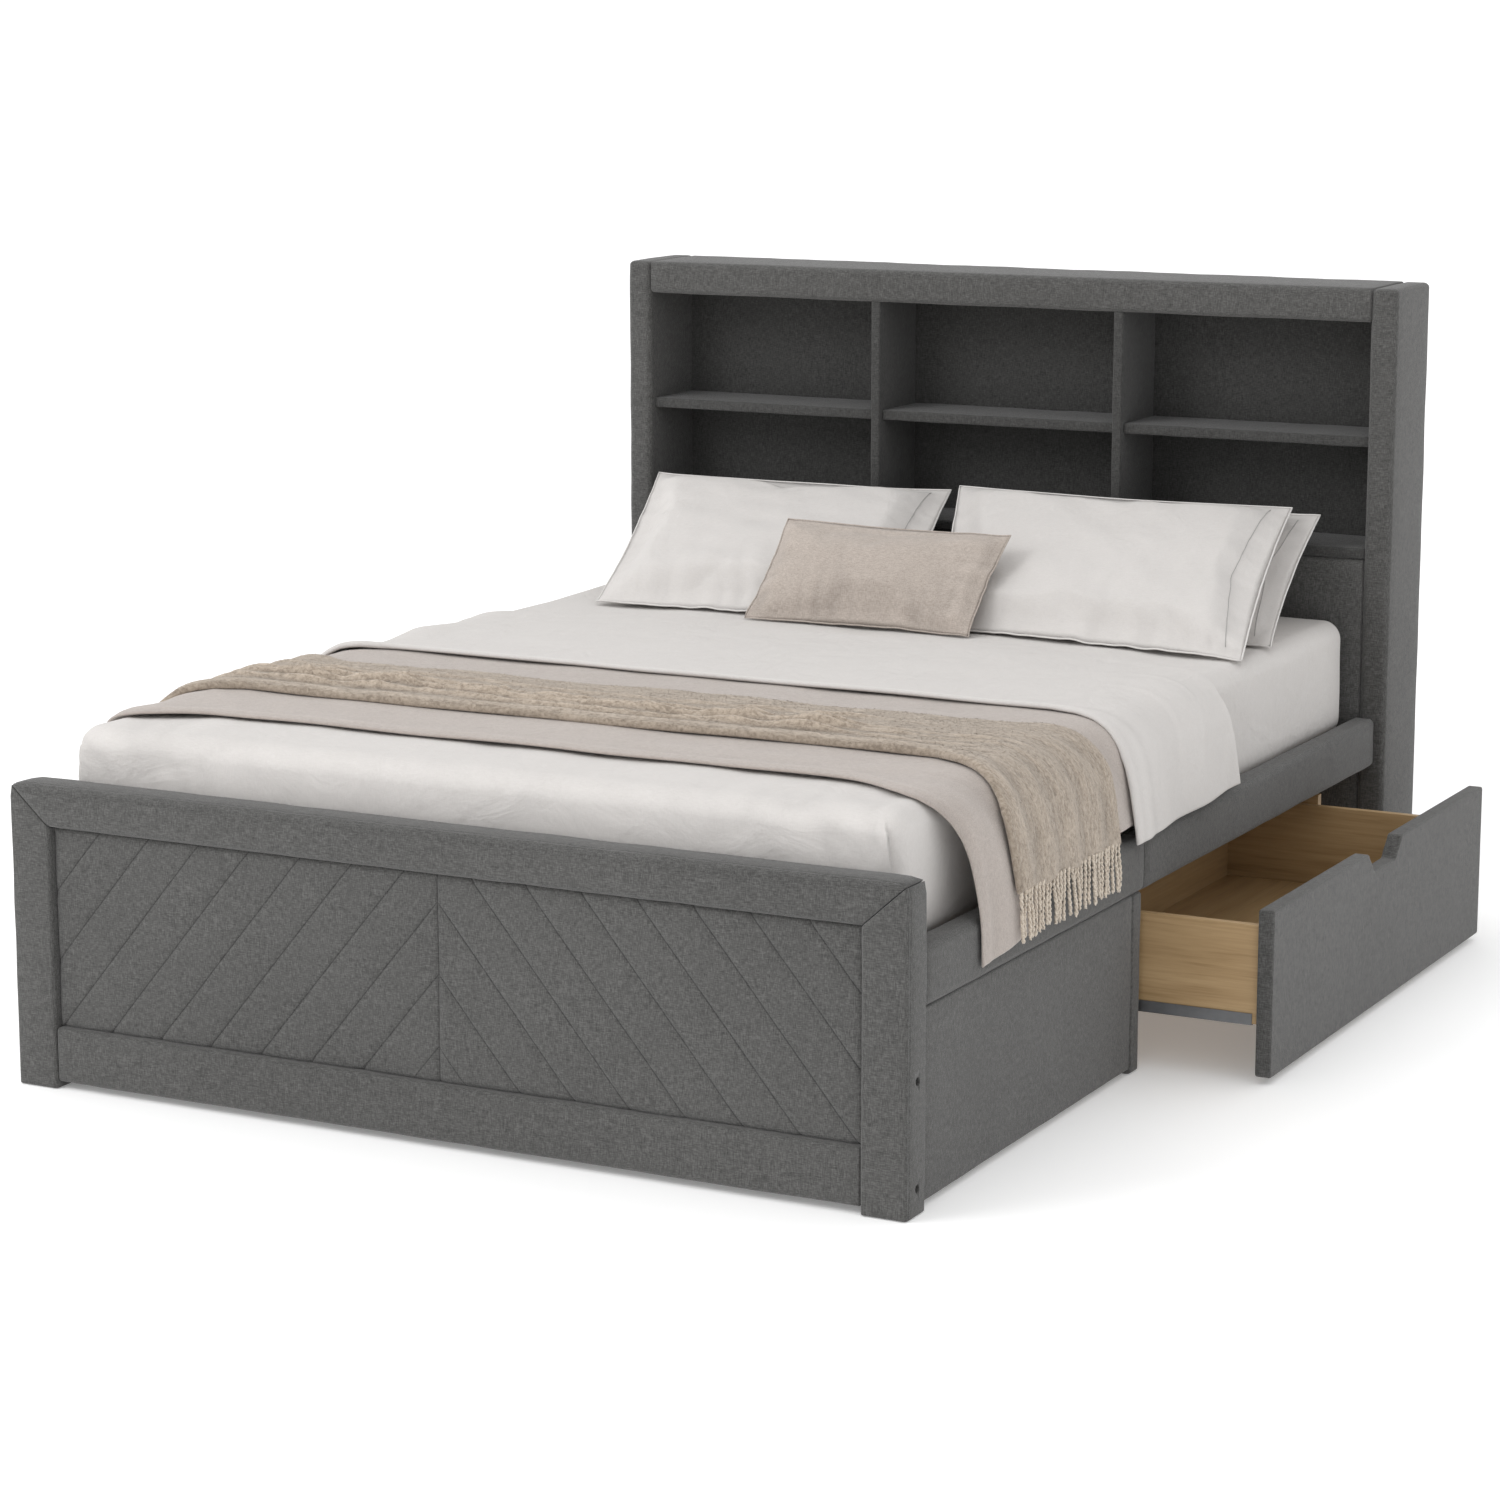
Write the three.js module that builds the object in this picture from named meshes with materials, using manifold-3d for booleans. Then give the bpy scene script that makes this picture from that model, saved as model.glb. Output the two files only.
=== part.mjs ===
// Upholstered storage bed with a bookcase headboard, two side drawers, a mattress and its bedding.
// Sizes are in millimetres. X runs across the bed, Y from foot to head, Z up from the floor.
import * as THREE from 'three';
import { RoundedBoxGeometry } from 'three/addons/geometries/RoundedBoxGeometry.js';
import { mergeVertices } from 'three/addons/utils/BufferGeometryUtils.js';
import ManifoldModule from 'manifold-3d';

// ---- driving dimensions ----
const gap = 0.4; // clearance between neighbouring pieces

const footWidth = 1640; // footboard, side to side
const footHeight = 515;
const footDepth = 68;
const footPostWidth = 78;
const footTopRail = 70;
const footKickTop = 105; // upper edge of the bottom rail
const footKickBottom = 12;
const chevronAngle = 50; // stitch lines, degrees from level
const chevronPitch = 98; // along the top edge of the panel
const chevronFirst = -647; // where the outermost line meets the top edge
const stitchDepth = 2.5;
const boltRadius = 7;
const boltHeights = [44, 210];
const boltSetback = 35; // behind the front face
const boltSink = 12;

const railOuter = 815; // side rail faces, from the centre line
const railInner = 770;
const railBottom = 312;
const railTop = 406;
const railJoint = 940; // where the foot and head lengths of a side rail meet
const frameLength = 2131; // front of the footboard to the front of the headboard
const midLegDepth = 40;
const panelOuter = 811; // fixed side panels under the rails
const panelThick = 20;

const headWidth = 1670;
const headHeight = 1235;
const headDepth = 200;
const headSide = 52;
const headTop = 64;
const deckTop = 735; // floor of the lower compartments
const deckThick = 20;
const shelfTop = 950;
const shelfThick = 20;
const dividerThick = 20;
const backThick = 10;

const ledgeTop = 350;
const slatThick = 18;
const slatWidth = 70;
const slatPitch = 145;
const strapThick = 3;
const strapOffset = 450;
const beamWidth = 40;
const beamHeight = 65;
const legSize = 44;
const legMiddle = 1170; // centre legs, from the footboard's front face
const legFoot = 500;

const drawerStart = 946; // drawer front, from the footboard's front face
const drawerEnd = 2099;
const drawerBottom = 12;
const drawerTop = 300;
const drawerFrontThick = 28;
const drawerFace = 812; // outer face of a closed drawer front
const drawerOpening = 233; // how far the right drawer stands open
const boxDepth = 430;
const boxEnd = 1930; // head end of the drawer box; its front reaches further
const boxTop = 270;
const boxBottom = 100;
const boardThick = 15;
const baseThick = 8;
const runnerRoom = 15; // between a partition and the drawer's side
const runnerLength = 415;
const metal = 1.5;
const notchWidth = 172;
const notchDepth = 38;

const mattressHalf = 758;
const mattressFoot = 90;
const mattressHead = 2120;
const mattressTop = 600;

// ---- materials ----
const material = (name, color, roughness, metalness = 0) =>
  new THREE.MeshStandardMaterial({ name, color, roughness, metalness });
const upholstery = material('grey_upholstery', 0x6a6c6c, 0.95);
const lining = material('dark_grey_fabric', 0x565859, 0.95);
const birch = material('birch_wood', 0xd9b98a, 0.6);
const steel = material('grey_steel', 0x8e9296, 0.4, 0.9);
const cotton = material('white_cotton', 0xe9e8e5, 0.9);
const blanketCloth = material('taupe_blanket', 0xbfb3aa, 0.95);
const throwCloth = material('tan_throw', 0xb5a692, 1.0);
const linen = material('beige_linen', 0xc4b3a4, 0.95);

// ---- building helpers ----
const wasm = await ManifoldModule();
wasm.setup();
const { Manifold, Mesh: SolidMesh } = wasm;

function toSolid(geometry) {
  const bare = new THREE.BufferGeometry();
  bare.setAttribute('position', geometry.getAttribute('position').clone());
  if (geometry.index) bare.setIndex(geometry.index.clone());
  const merged = mergeVertices(bare, 1e-4);
  return new Manifold(new SolidMesh({
    numProp: 3,
    vertProperties: Float32Array.from(merged.getAttribute('position').array),
    triVerts: Uint32Array.from(merged.index.array),
  }));
}

function fromSolid(solid) {
  const mesh = solid.getMesh();
  const geometry = new THREE.BufferGeometry();
  geometry.setAttribute('position', new THREE.BufferAttribute(Float32Array.from(mesh.vertProperties), 3));
  geometry.setIndex(Array.from(mesh.triVerts));
  const faceted = geometry.toNonIndexed();
  faceted.computeVertexNormals();
  return faceted;
}

const join = (...geometries) =>
  fromSolid(geometries.map(toSolid).reduce((all, next) => all.add(next)));
const cut = (body, tools) =>
  fromSolid(tools.map(toSolid).reduce((all, next) => all.subtract(next), toSolid(body)));

const box = ([x0, x1], [y0, y1], [z0, z1]) =>
  new THREE.BoxGeometry(x1 - x0, y1 - y0, z1 - z0)
    .translate((x0 + x1) / 2, (y0 + y1) / 2, (z0 + z1) / 2);

const padded = ([x0, x1], [y0, y1], [z0, z1], radius, segments = 2) =>
  new RoundedBoxGeometry(x1 - x0, y1 - y0, z1 - z0, segments, radius)
    .translate((x0 + x1) / 2, (y0 + y1) / 2, (z0 + z1) / 2);

// A disc whose axis runs along X or Y.
function disc(axis, radius, length, [x, y, z]) {
  const geometry = new THREE.CylinderGeometry(radius, radius, length, 20);
  if (axis === 'x') geometry.rotateZ(Math.PI / 2);
  return geometry.translate(x, y, z);
}

// A plate seen from the front as an outline of [x, z] points, between two depths, with soft edges.
function frontPlate(outline, [y0, y1], soft) {
  const shape = new THREE.Shape(outline.map(([x, z]) => new THREE.Vector2(x, z)));
  const settings = {
    depth: y1 - y0 - 2 * soft,
    bevelEnabled: true,
    bevelThickness: soft,
    bevelSize: soft,
    bevelOffset: -soft,
    bevelSegments: 2,
  };
  return new THREE.ExtrudeGeometry(shape, settings).rotateX(Math.PI / 2).translate(0, y1 - soft, 0);
}

// A cloth draped across the bed: a closed strip that follows the mattress and the side rails.
function drape([y0, y1], lift, thick, hem) {
  const side = [[0, 601], [712, 601], [740, 597], [772, 575], [794, 540], [806, 490], [813, 440],
    [817, 405]];
  const half = (offset) => {
    const run = side.map(([x, z], i) => {
      const out = i < 2 ? 0 : i === 2 ? 0.4 : 1;
      const up = i < 3 ? 1 : i === 3 ? 0.6 : 0;
      return [x + offset * out, z + offset * up];
    }).filter(([, z]) => z > hem);
    const last = run[run.length - 1];
    return [...run, [hem > 405 ? last[0] + (last[1] - hem) * 0.12 : last[0], hem]];
  };
  const whole = (offset) => {
    const right = half(offset);
    const left = right.slice(1).reverse().map(([x, z]) => [-x, z]);
    return [...left, ...right];
  };
  const outline = [...whole(lift), ...whole(lift + thick).reverse()];
  const shape = new THREE.Shape(outline.map(([x, z]) => new THREE.Vector2(x, z)));
  return new THREE.ExtrudeGeometry(shape, { depth: y1 - y0, bevelEnabled: false })
    .rotateX(Math.PI / 2).translate(0, y1, 0);
}

// A leaning cushion. Its seam joins four corners seen from above, foot and head edge each from left
// to right, and climbs from rise[0] to rise[1]. It is fuller towards the middle and flat where it rests.
function cushion({ foot, head, rise, above, below }) {
  const columns = 14;
  const rows = 12;
  const seam = 8;
  const rests = mattressTop + 2;
  const positions = [];
  const faces = [];
  const swell = (t) => Math.pow(1 - (2 * t - 1) ** 2, 0.75);
  const mix = (a, b, t) => a + (b - a) * t;
  const tilt = Math.atan2(rise[1] - rise[0], head[0][1] - foot[0][1]);
  for (const sign of [1, -1]) {
    for (let j = 0; j <= rows; j += 1) {
      for (let i = 0; i <= columns; i += 1) {
        const [u, v] = [i / columns, j / rows];
        const fullness = (sign > 0 ? above : below) - seam;
        const out = sign * (seam + fullness * swell(u) * swell(v));
        const [x, y] = [0, 1].map((k) => mix(mix(foot[0][k], foot[1][k], u),
          mix(head[0][k], head[1][k], u), v));
        const z = mix(...rise, v) + out * Math.cos(tilt);
        positions.push(x, y - out * Math.sin(tilt), Math.max(z, rests));
      }
    }
  }
  const layer = (columns + 1) * (rows + 1);
  const id = (i, j) => j * (columns + 1) + i;
  for (let j = 0; j < rows; j += 1) {
    for (let i = 0; i < columns; i += 1) {
      const [a, b, c, d] = [id(i, j), id(i + 1, j), id(i + 1, j + 1), id(i, j + 1)];
      faces.push(a, b, c, a, c, d, layer + a, layer + c, layer + b, layer + a, layer + d, layer + c);
    }
  }
  const rim = [];
  for (let i = 0; i < columns; i += 1) rim.push(id(i, 0));
  for (let j = 0; j < rows; j += 1) rim.push(id(columns, j));
  for (let i = columns; i > 0; i -= 1) rim.push(id(i, rows));
  for (let j = rows; j > 0; j -= 1) rim.push(id(0, j));
  rim.forEach((a, k) => {
    const b = rim[(k + 1) % rim.length];
    faces.push(a, layer + a, layer + b, a, layer + b, b);
  });
  const geometry = new THREE.BufferGeometry();
  geometry.setAttribute('position', new THREE.Float32BufferAttribute(positions, 3));
  geometry.setIndex(faces);
  geometry.computeVertexNormals();
  return geometry;
}

const group = new THREE.Group();
group.name = 'storage_bed';

function add(name, geometry, finish) {
  geometry.translate(0, -legMiddle, 0); // the origin is under the middle centre leg
  const mesh = new THREE.Mesh(geometry, finish);
  mesh.name = name;
  group.add(mesh);
}

const mirrorOutline = (outline) => outline.map(([x, z]) => [-x, z]).reverse();
const span = (side, near, far) => (side > 0 ? [near, far] : [-far, -near]);
const sides = [['left', -1], ['right', 1]];

// ---- footboard ----
const footHalf = footWidth / 2;
const openHalf = footHalf - footPostWidth;
const openTop = footHeight - footTopRail;
const postOutline = [
  [openHalf, 0], [footHalf, 0], [footHalf, footHeight - gap], [openHalf, openTop - gap],
];
for (const [label, side] of sides) {
  const outline = side > 0 ? postOutline : mirrorOutline(postOutline);
  const holes = boltHeights.map((z) =>
    disc('x', boltRadius, 2 * boltSink, [side * footHalf, boltSetback, z]));
  add(`footboard_${label}_post`, cut(frontPlate(outline, [0, footDepth], 6), holes), upholstery);
}
const topRailOutline = [
  [-openHalf + gap, openTop], [openHalf - gap, openTop], [footHalf - gap, footHeight],
  [-footHalf + gap, footHeight],
];
add('footboard_top_rail', frontPlate(topRailOutline, [0, footDepth], 6), upholstery);
add('footboard_bottom_rail',
  padded([-openHalf + gap, openHalf - gap], [3, footDepth - 3], [footKickBottom, footKickTop], 6),
  upholstery);

const panelHeight = openTop - footKickTop - 2 * gap;
const panelFace = 14; // set back from the front of the posts
const slope = THREE.MathUtils.degToRad(chevronAngle);
const seams = [box([-1.5, 1.5], [panelFace - 5, panelFace + stitchDepth], [0, footHeight])];
for (let line = 0; line < 9; line += 1) {
  for (const side of [-1, 1]) {
    // Each line runs down and outwards from the top edge or from the centre seam.
    const topX = chevronFirst + line * chevronPitch;
    const length = 2 * panelHeight / Math.sin(slope);
    const groove = box([-length / 2, length / 2], [panelFace - 5, panelFace + stitchDepth], [-1.5, 1.5]);
    groove.rotateY(-side * -slope).translate(-side * topX, 0, openTop - gap);
    const half = box(span(side, 1, openHalf + 20), [0, footDepth], [0, footHeight]);
    seams.push(fromSolid(toSolid(groove).intersect(toSolid(half))));
  }
}
add('footboard_chevron_panel',
  cut(padded([-openHalf + gap, openHalf - gap], [panelFace, 54],
    [footKickTop + gap, openTop - gap], 4), seams), upholstery);

// ---- side rails, fixed side panels, middle legs and ledges ----
for (const [label, side] of sides) {
  const across = span(side, railInner, railOuter);
  add(`${label}_rail_foot`,
    padded(across, [footDepth + gap, railJoint - gap], [railBottom, railTop], 9, 3), upholstery);
  add(`${label}_rail_head`,
    padded(across, [railJoint, frameLength - gap], [railBottom, railTop], 9, 3), upholstery);
  add(`${label}_side_panel`,
    padded(span(side, panelOuter - panelThick, panelOuter),
      [footDepth + gap, railJoint - midLegDepth - gap], [10, railBottom - gap], 4), upholstery);
  add(`${label}_middle_leg`,
    padded(span(side, railInner, panelOuter + 1),
      [railJoint - midLegDepth, railJoint - gap], [0, railBottom - gap], 5), upholstery);
  add(`${label}_slat_ledge`,
    box(span(side, railInner - 25, railInner - gap), [footDepth + gap, frameLength - 1],
      [ledgeTop - 32, ledgeTop]), birch);
}

// ---- centre beam, legs and the partitions that carry the runners ----
const beamBottom = ledgeTop - beamHeight;
add('centre_beam',
  box([-beamWidth / 2, beamWidth / 2], [footDepth + gap, frameLength - 1], [beamBottom, ledgeTop]),
  birch);
for (const [name, y] of [['centre_leg_middle', legMiddle], ['centre_leg_foot', legFoot]]) {
  add(name,
    box([-legSize / 2, legSize / 2], [y - legSize / 2, y + legSize / 2], [0, beamBottom - gap]),
    birch);
}
const bayFoot = drawerStart - 4; // faces that the cabinet runners are fixed to
const bayHead = boxEnd + runnerRoom;
add('foot_partition',
  box([-railInner + gap, railInner - gap], [bayFoot - 18, bayFoot], [30, beamBottom - gap]), birch);
add('head_partition',
  box([-railInner + gap, railInner - gap], [bayHead, bayHead + 18], [30, beamBottom - gap]), birch);

// ---- slats, tied into two mats by webbing ----
function slatMat(start, count) {
  const half = railInner - 4;
  const pieces = [];
  for (let i = 0; i < count; i += 1) {
    const y = start + i * slatPitch;
    pieces.push(box([-half, half], [y, y + slatWidth], [ledgeTop + gap, ledgeTop + gap + slatThick]));
  }
  const top = ledgeTop + gap + slatThick;
  for (const x of [-strapOffset, strapOffset]) {
    pieces.push(box([x - 15, x + 15], [start + 20, start + (count - 1) * slatPitch + 50],
      [top - 1, top + strapThick - 1]));
  }
  return join(...pieces);
}
add('foot_slats', slatMat(100, 7), birch);
add('head_slats', slatMat(1110, 7), birch);

// ---- bookcase headboard ----
const headHalf = headWidth / 2;
const headInner = headHalf - headSide;
const headBack = frameLength + headDepth;
const recess = [frameLength + 5, headBack - 20];
const underTop = headHeight - headTop;
for (const [label, side] of sides) {
  add(`headboard_${label}_side`,
    padded(span(side, headInner, headHalf), [frameLength, headBack], [0, headHeight], 8, 3),
    upholstery);
}
add('headboard_top_rail',
  padded([-headInner + gap, headInner - gap], [frameLength, headBack], [underTop, headHeight], 8, 3),
  upholstery);
add('headboard_back_panel',
  box([-headInner + gap, headInner - gap], [recess[1] + gap, recess[1] + gap + backThick],
    [30, underTop - gap]), lining);
add('headboard_deck',
  box([-headInner + gap, headInner - gap], [frameLength + 3, recess[1]],
    [deckTop - deckThick, deckTop]), lining);
add('headboard_front_panel',
  padded([-headInner + gap, headInner - gap], [frameLength + 2, frameLength + 34],
    [60, deckTop - deckThick - gap], 8, 3), upholstery);
const bayWidth = (2 * headInner - 2 * dividerThick) / 3;
const dividerLeft = -bayWidth / 2 - dividerThick;
for (const [label, x] of [['left', dividerLeft], ['right', bayWidth / 2]]) {
  add(`headboard_${label}_divider`,
    box([x, x + dividerThick], recess, [deckTop + gap, underTop - gap]), lining);
}
const bays = [
  ['left', -headInner], ['middle', -bayWidth / 2], ['right', bayWidth / 2 + dividerThick],
];
for (const [label, x] of bays) {
  add(`headboard_${label}_shelf`,
    box([x + gap, x + bayWidth - gap], [frameLength + 17, recess[1]],
      [shelfTop - shelfThick, shelfTop]), lining);
}

// ---- drawers: upholstered front, open-topped birch box and a pair of runners ----
function notchedFront(side, face) {
  const middle = (drawerStart + drawerEnd) / 2;
  const half = notchWidth / 2;
  const floor = drawerTop - notchDepth;
  const shape = new THREE.Shape();
  shape.moveTo(drawerStart, drawerBottom);
  shape.lineTo(drawerEnd, drawerBottom);
  shape.lineTo(drawerEnd, drawerTop);
  shape.lineTo(middle + half, drawerTop);
  shape.lineTo(middle + half - 16, floor + 12);
  shape.quadraticCurveTo(middle + half - 21, floor, middle + half - 36, floor);
  shape.lineTo(middle - half + 36, floor);
  shape.quadraticCurveTo(middle - half + 21, floor, middle - half + 16, floor + 12);
  shape.lineTo(middle - half, drawerTop);
  shape.lineTo(drawerStart, drawerTop);
  shape.closePath();
  const soft = 5;
  const geometry = new THREE.ExtrudeGeometry(shape, {
    depth: drawerFrontThick - 2 * soft,
    bevelEnabled: true,
    bevelThickness: soft,
    bevelSize: soft,
    bevelOffset: -soft,
    bevelSegments: 2,
    curveSegments: 4,
  });
  // The outline is drawn in Y and Z; turn it so that it faces along X.
  geometry.rotateX(Math.PI / 2).rotateZ(Math.PI / 2);
  const [x0] = span(side, face - drawerFrontThick, face);
  return geometry.translate(x0 + soft, 0, 0);
}

for (const [label, side] of sides) {
  const slide = side > 0 ? drawerOpening : 0;
  const face = drawerFace + slide;
  const near = face - drawerFrontThick - gap - boxDepth; // inner end of the box
  const boxRun = span(side, near, near + boxDepth);
  const boxFoot = bayFoot + runnerRoom;
  const boxHead = boxEnd;
  const name = `${label}_drawer`;
  add(`${name}_front`, notchedFront(side, face), upholstery);
  add(`${name}_foot_side`,
    box(boxRun, [boxFoot, boxFoot + boardThick], [boxBottom, boxTop]), birch);
  add(`${name}_head_side`,
    box(boxRun, [boxHead - boardThick, boxHead], [boxBottom, boxTop]), birch);
  const inside = [boxFoot + boardThick + gap, boxHead - boardThick - gap];
  add(`${name}_back`, box(span(side, near, near + boardThick), inside, [boxBottom, boxTop]), birch);
  add(`${name}_base`,
    box(span(side, near + boardThick + gap, near + boxDepth - gap), inside,
      [boxBottom + 10, boxBottom + 10 + baseThick]), birch);

  for (const [end, wall, inward] of [['foot', bayFoot, 1], ['head', bayHead, -1]]) {
    // Distances are measured from the partition's face towards the drawer.
    const away = (a, b) => (inward > 0 ? [wall + a, wall + b] : [wall - b, wall - a]);
    const middle = (a, b) => (away(a, b)[0] + away(a, b)[1]) / 2;
    const railRun = span(side, 780 - runnerLength, 780);
    const slideRun = span(side, near + 5, near + 5 + runnerLength);
    add(`${label}_cabinet_runner_${end}`, join(
      box(railRun, away(gap, gap + metal), [82, 116]),
      box(railRun, away(gap, 12.5), [82, 82 + metal]),
      box(railRun, away(gap, 12.5), [114.5, 116]),
    ), steel);
    add(`${label}_drawer_runner_${end}`, join(
      box(slideRun, away(runnerRoom - gap - metal, runnerRoom - gap), [boxBottom - gap - metal, boxBottom + 18]),
      box(slideRun, away(runnerRoom - gap - metal, 32), [boxBottom - gap - metal, boxBottom - gap]),
      disc('y', 11, 11, [side * (near + 18), middle(2.6, 13.6), 99]),
    ), steel);
  }
}

// ---- mattress and bedding ----
add('mattress',
  padded([-mattressHalf, mattressHalf], [mattressFoot, mattressHead], [372, mattressTop], 45, 4),
  cotton);
add('blanket', drape([240, 905], 1, 5, 350), blanketCloth);
add('throw', drape([430, 770], 7, 10, 424), throwCloth);
add('top_sheet', drape([909, 1430], 1, 8, 412), cotton);
const pillows = [
  ['left_pillow', {
    foot: [[-620, 1612], [40, 1625]], head: [[-738, 2085], [-76, 2100]], rise: [613, 802],
    above: 58, below: 90,
  }],
  ['right_pillow', {
    foot: [[85, 1633], [751, 1558]], head: [[-40, 2063], [660, 2062]], rise: [613, 816],
    above: 60, below: 26,
  }],
  ['rear_pillow', {
    foot: [[70, 1735], [747, 1721]], head: [[20, 2112], [698, 2117]], rise: [613, 798],
    above: 20, below: 85,
  }],
];
for (const [name, form] of pillows) add(name, cushion(form), cotton);
add('lumbar_cushion', cushion({
  foot: [[-272, 1576], [205, 1568]], head: [[-258, 1735], [219, 1727]], rise: [614, 776],
  above: 45, below: 16,
}), linen);

export default group;
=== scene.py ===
"""Looks for the upholstered storage bed: fabric, stitching, wood, metal, bedding, light and camera."""
import math

import bmesh
import bpy
import numpy as np
from mathutils import Matrix, Vector


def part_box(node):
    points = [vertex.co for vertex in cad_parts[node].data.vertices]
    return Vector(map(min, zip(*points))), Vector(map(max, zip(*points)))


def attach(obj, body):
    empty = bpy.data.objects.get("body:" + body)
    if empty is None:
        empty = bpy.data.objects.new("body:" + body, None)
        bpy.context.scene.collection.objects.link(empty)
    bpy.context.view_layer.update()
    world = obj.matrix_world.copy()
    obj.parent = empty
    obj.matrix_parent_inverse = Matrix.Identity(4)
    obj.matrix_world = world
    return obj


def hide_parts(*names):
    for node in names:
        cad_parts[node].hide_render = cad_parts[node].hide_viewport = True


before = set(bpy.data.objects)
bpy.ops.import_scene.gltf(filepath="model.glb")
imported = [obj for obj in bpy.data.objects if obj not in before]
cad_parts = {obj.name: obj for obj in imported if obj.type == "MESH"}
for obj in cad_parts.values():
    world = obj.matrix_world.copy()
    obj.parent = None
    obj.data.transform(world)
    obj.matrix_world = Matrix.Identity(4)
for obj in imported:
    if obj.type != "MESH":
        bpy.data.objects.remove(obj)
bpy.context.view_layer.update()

FOOT = -1.170          # front face of the footboard, along Y
HEAD_FRONT = FOOT + 2.131
FOOT_HALF = 0.82       # half the footboard's width
POST_WIDTH = 0.078
POST_IN = 0.742        # inner side of a foot post, from the centre line
OPEN_TOP = 0.445       # underside of the footboard's top rail
FOOT_TOP = 0.515
GAP = 0.0004           # clearance between neighbouring CAD pieces
BOLT_HEIGHTS = (0.044, 0.210)
BOLT_SETBACK = 0.035   # behind the footboard's front face
CHEVRON_ANGLE = math.radians(50)
CHEVRON_PITCH = 0.098
CHEVRON_FIRST = 0.647  # where the outermost line meets the panel's top edge
PANEL_TOP = OPEN_TOP - GAP
MATTRESS_TOP = 0.6005
BLANKET_THICK = 0.006
THROW_HEM = 0.424      # height of the throw's ends
SIDES = ((-1, "left"), (1, "right"))
UP = np.array([0.0, 0.0, 1.0])


# ---------------------------------------------------------------- materials
def feed(n, **values):
    """Sets a node's inputs to fixed values or links them; an underscore in a key stands for a space."""
    for key, value in values.items():
        socket = n.inputs[key.replace("_", " ")]
        if isinstance(value, bpy.types.NodeSocket):
            n.id_data.links.new(value, socket)
        else:
            socket.default_value = value


def node(tree, kind, inputs=(), **settings):
    n = tree.nodes.new(kind)
    for key, value in settings.items():
        setattr(n, key, value)
    feed(n, **dict(inputs))
    return n


def new_material(name):
    m = bpy.data.materials.new(name)
    m.use_nodes = True
    return m, m.node_tree, m.node_tree.nodes["Principled BSDF"]


def object_coords(tree):
    return node(tree, "ShaderNodeTexCoord").outputs["Object"]


def noise(tree, coords, scale, detail, rough, stretch=(1, 1, 1), distort=0.0):
    mapped = node(tree, "ShaderNodeMapping", dict(Vector=coords, Scale=stretch)).outputs["Vector"]
    return node(tree, "ShaderNodeTexNoise", dict(Vector=mapped, Scale=scale, Detail=detail,
                                                 Roughness=rough, Distortion=distort)).outputs["Fac"]


def maths(tree, op, a, b=None, clamp=False):
    n = node(tree, "ShaderNodeMath", operation=op, use_clamp=clamp)
    for socket, value in zip(n.inputs, (a, b)):
        if isinstance(value, bpy.types.NodeSocket):
            tree.links.new(value, socket)
        elif value is not None:
            socket.default_value = value
    return n.outputs[0]


def weighted(tree, *terms):
    """The sum of value times weight over (value, weight) pairs."""
    total = None
    for value, weight in terms:
        part = maths(tree, "MULTIPLY", value, weight)
        total = part if total is None else maths(tree, "ADD", total, part)
    return total


def ramp(tree, fac, stops):
    n = node(tree, "ShaderNodeValToRGB", dict(Fac=fac))
    while len(n.color_ramp.elements) < len(stops):
        n.color_ramp.elements.new(0.5)
    for e, (pos, col) in zip(n.color_ramp.elements, stops):
        e.position = pos
        e.color = (*col, 1)
    return n.outputs["Color"]


def bump(tree, height, strength, distance, onward=None):
    """A relief; onward is the normal of a relief that lies under it."""
    n = node(tree, "ShaderNodeBump", dict(Height=height, Strength=strength, Distance=distance))
    if onward is not None:
        feed(n, Normal=onward)
    return n.outputs["Normal"]


def axes(tree, vector):
    return node(tree, "ShaderNodeSeparateXYZ", dict(Vector=vector)).outputs


def weave_height(tree, coords, pitch):
    """Over and under threads on whichever plane the surface lies in."""
    k = 2 * math.pi / pitch
    x, y, z = (maths(tree, "SINE", maths(tree, "MULTIPLY", axis, k)) for axis in axes(tree, coords))
    return weighted(tree, (x, z), (y, z), (x, y))


def shade_folds(tree, colour, depth):
    """Painted shade and painted highlight: darkens a colour between folds and lightens it on them, from a
    per-point fold-shade attribute of the mesh.
    """
    painted_fold_shade = node(tree, "ShaderNodeAttribute", attribute_name="painted_fold_shade").outputs["Fac"]
    darker = maths(tree, "MULTIPLY", maths(tree, "MINIMUM", painted_fold_shade, 0.0), depth)
    paler = maths(tree, "MULTIPLY", maths(tree, "MAXIMUM", painted_fold_shade, 0.0), depth * 0.4)
    shade = maths(tree, "ADD", 1.0, maths(tree, "ADD", darker, paler))
    shaded = node(tree, "ShaderNodeVectorMath", dict(Vector=colour, Scale=shade), operation="SCALE")
    return shaded.outputs[0]


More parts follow.
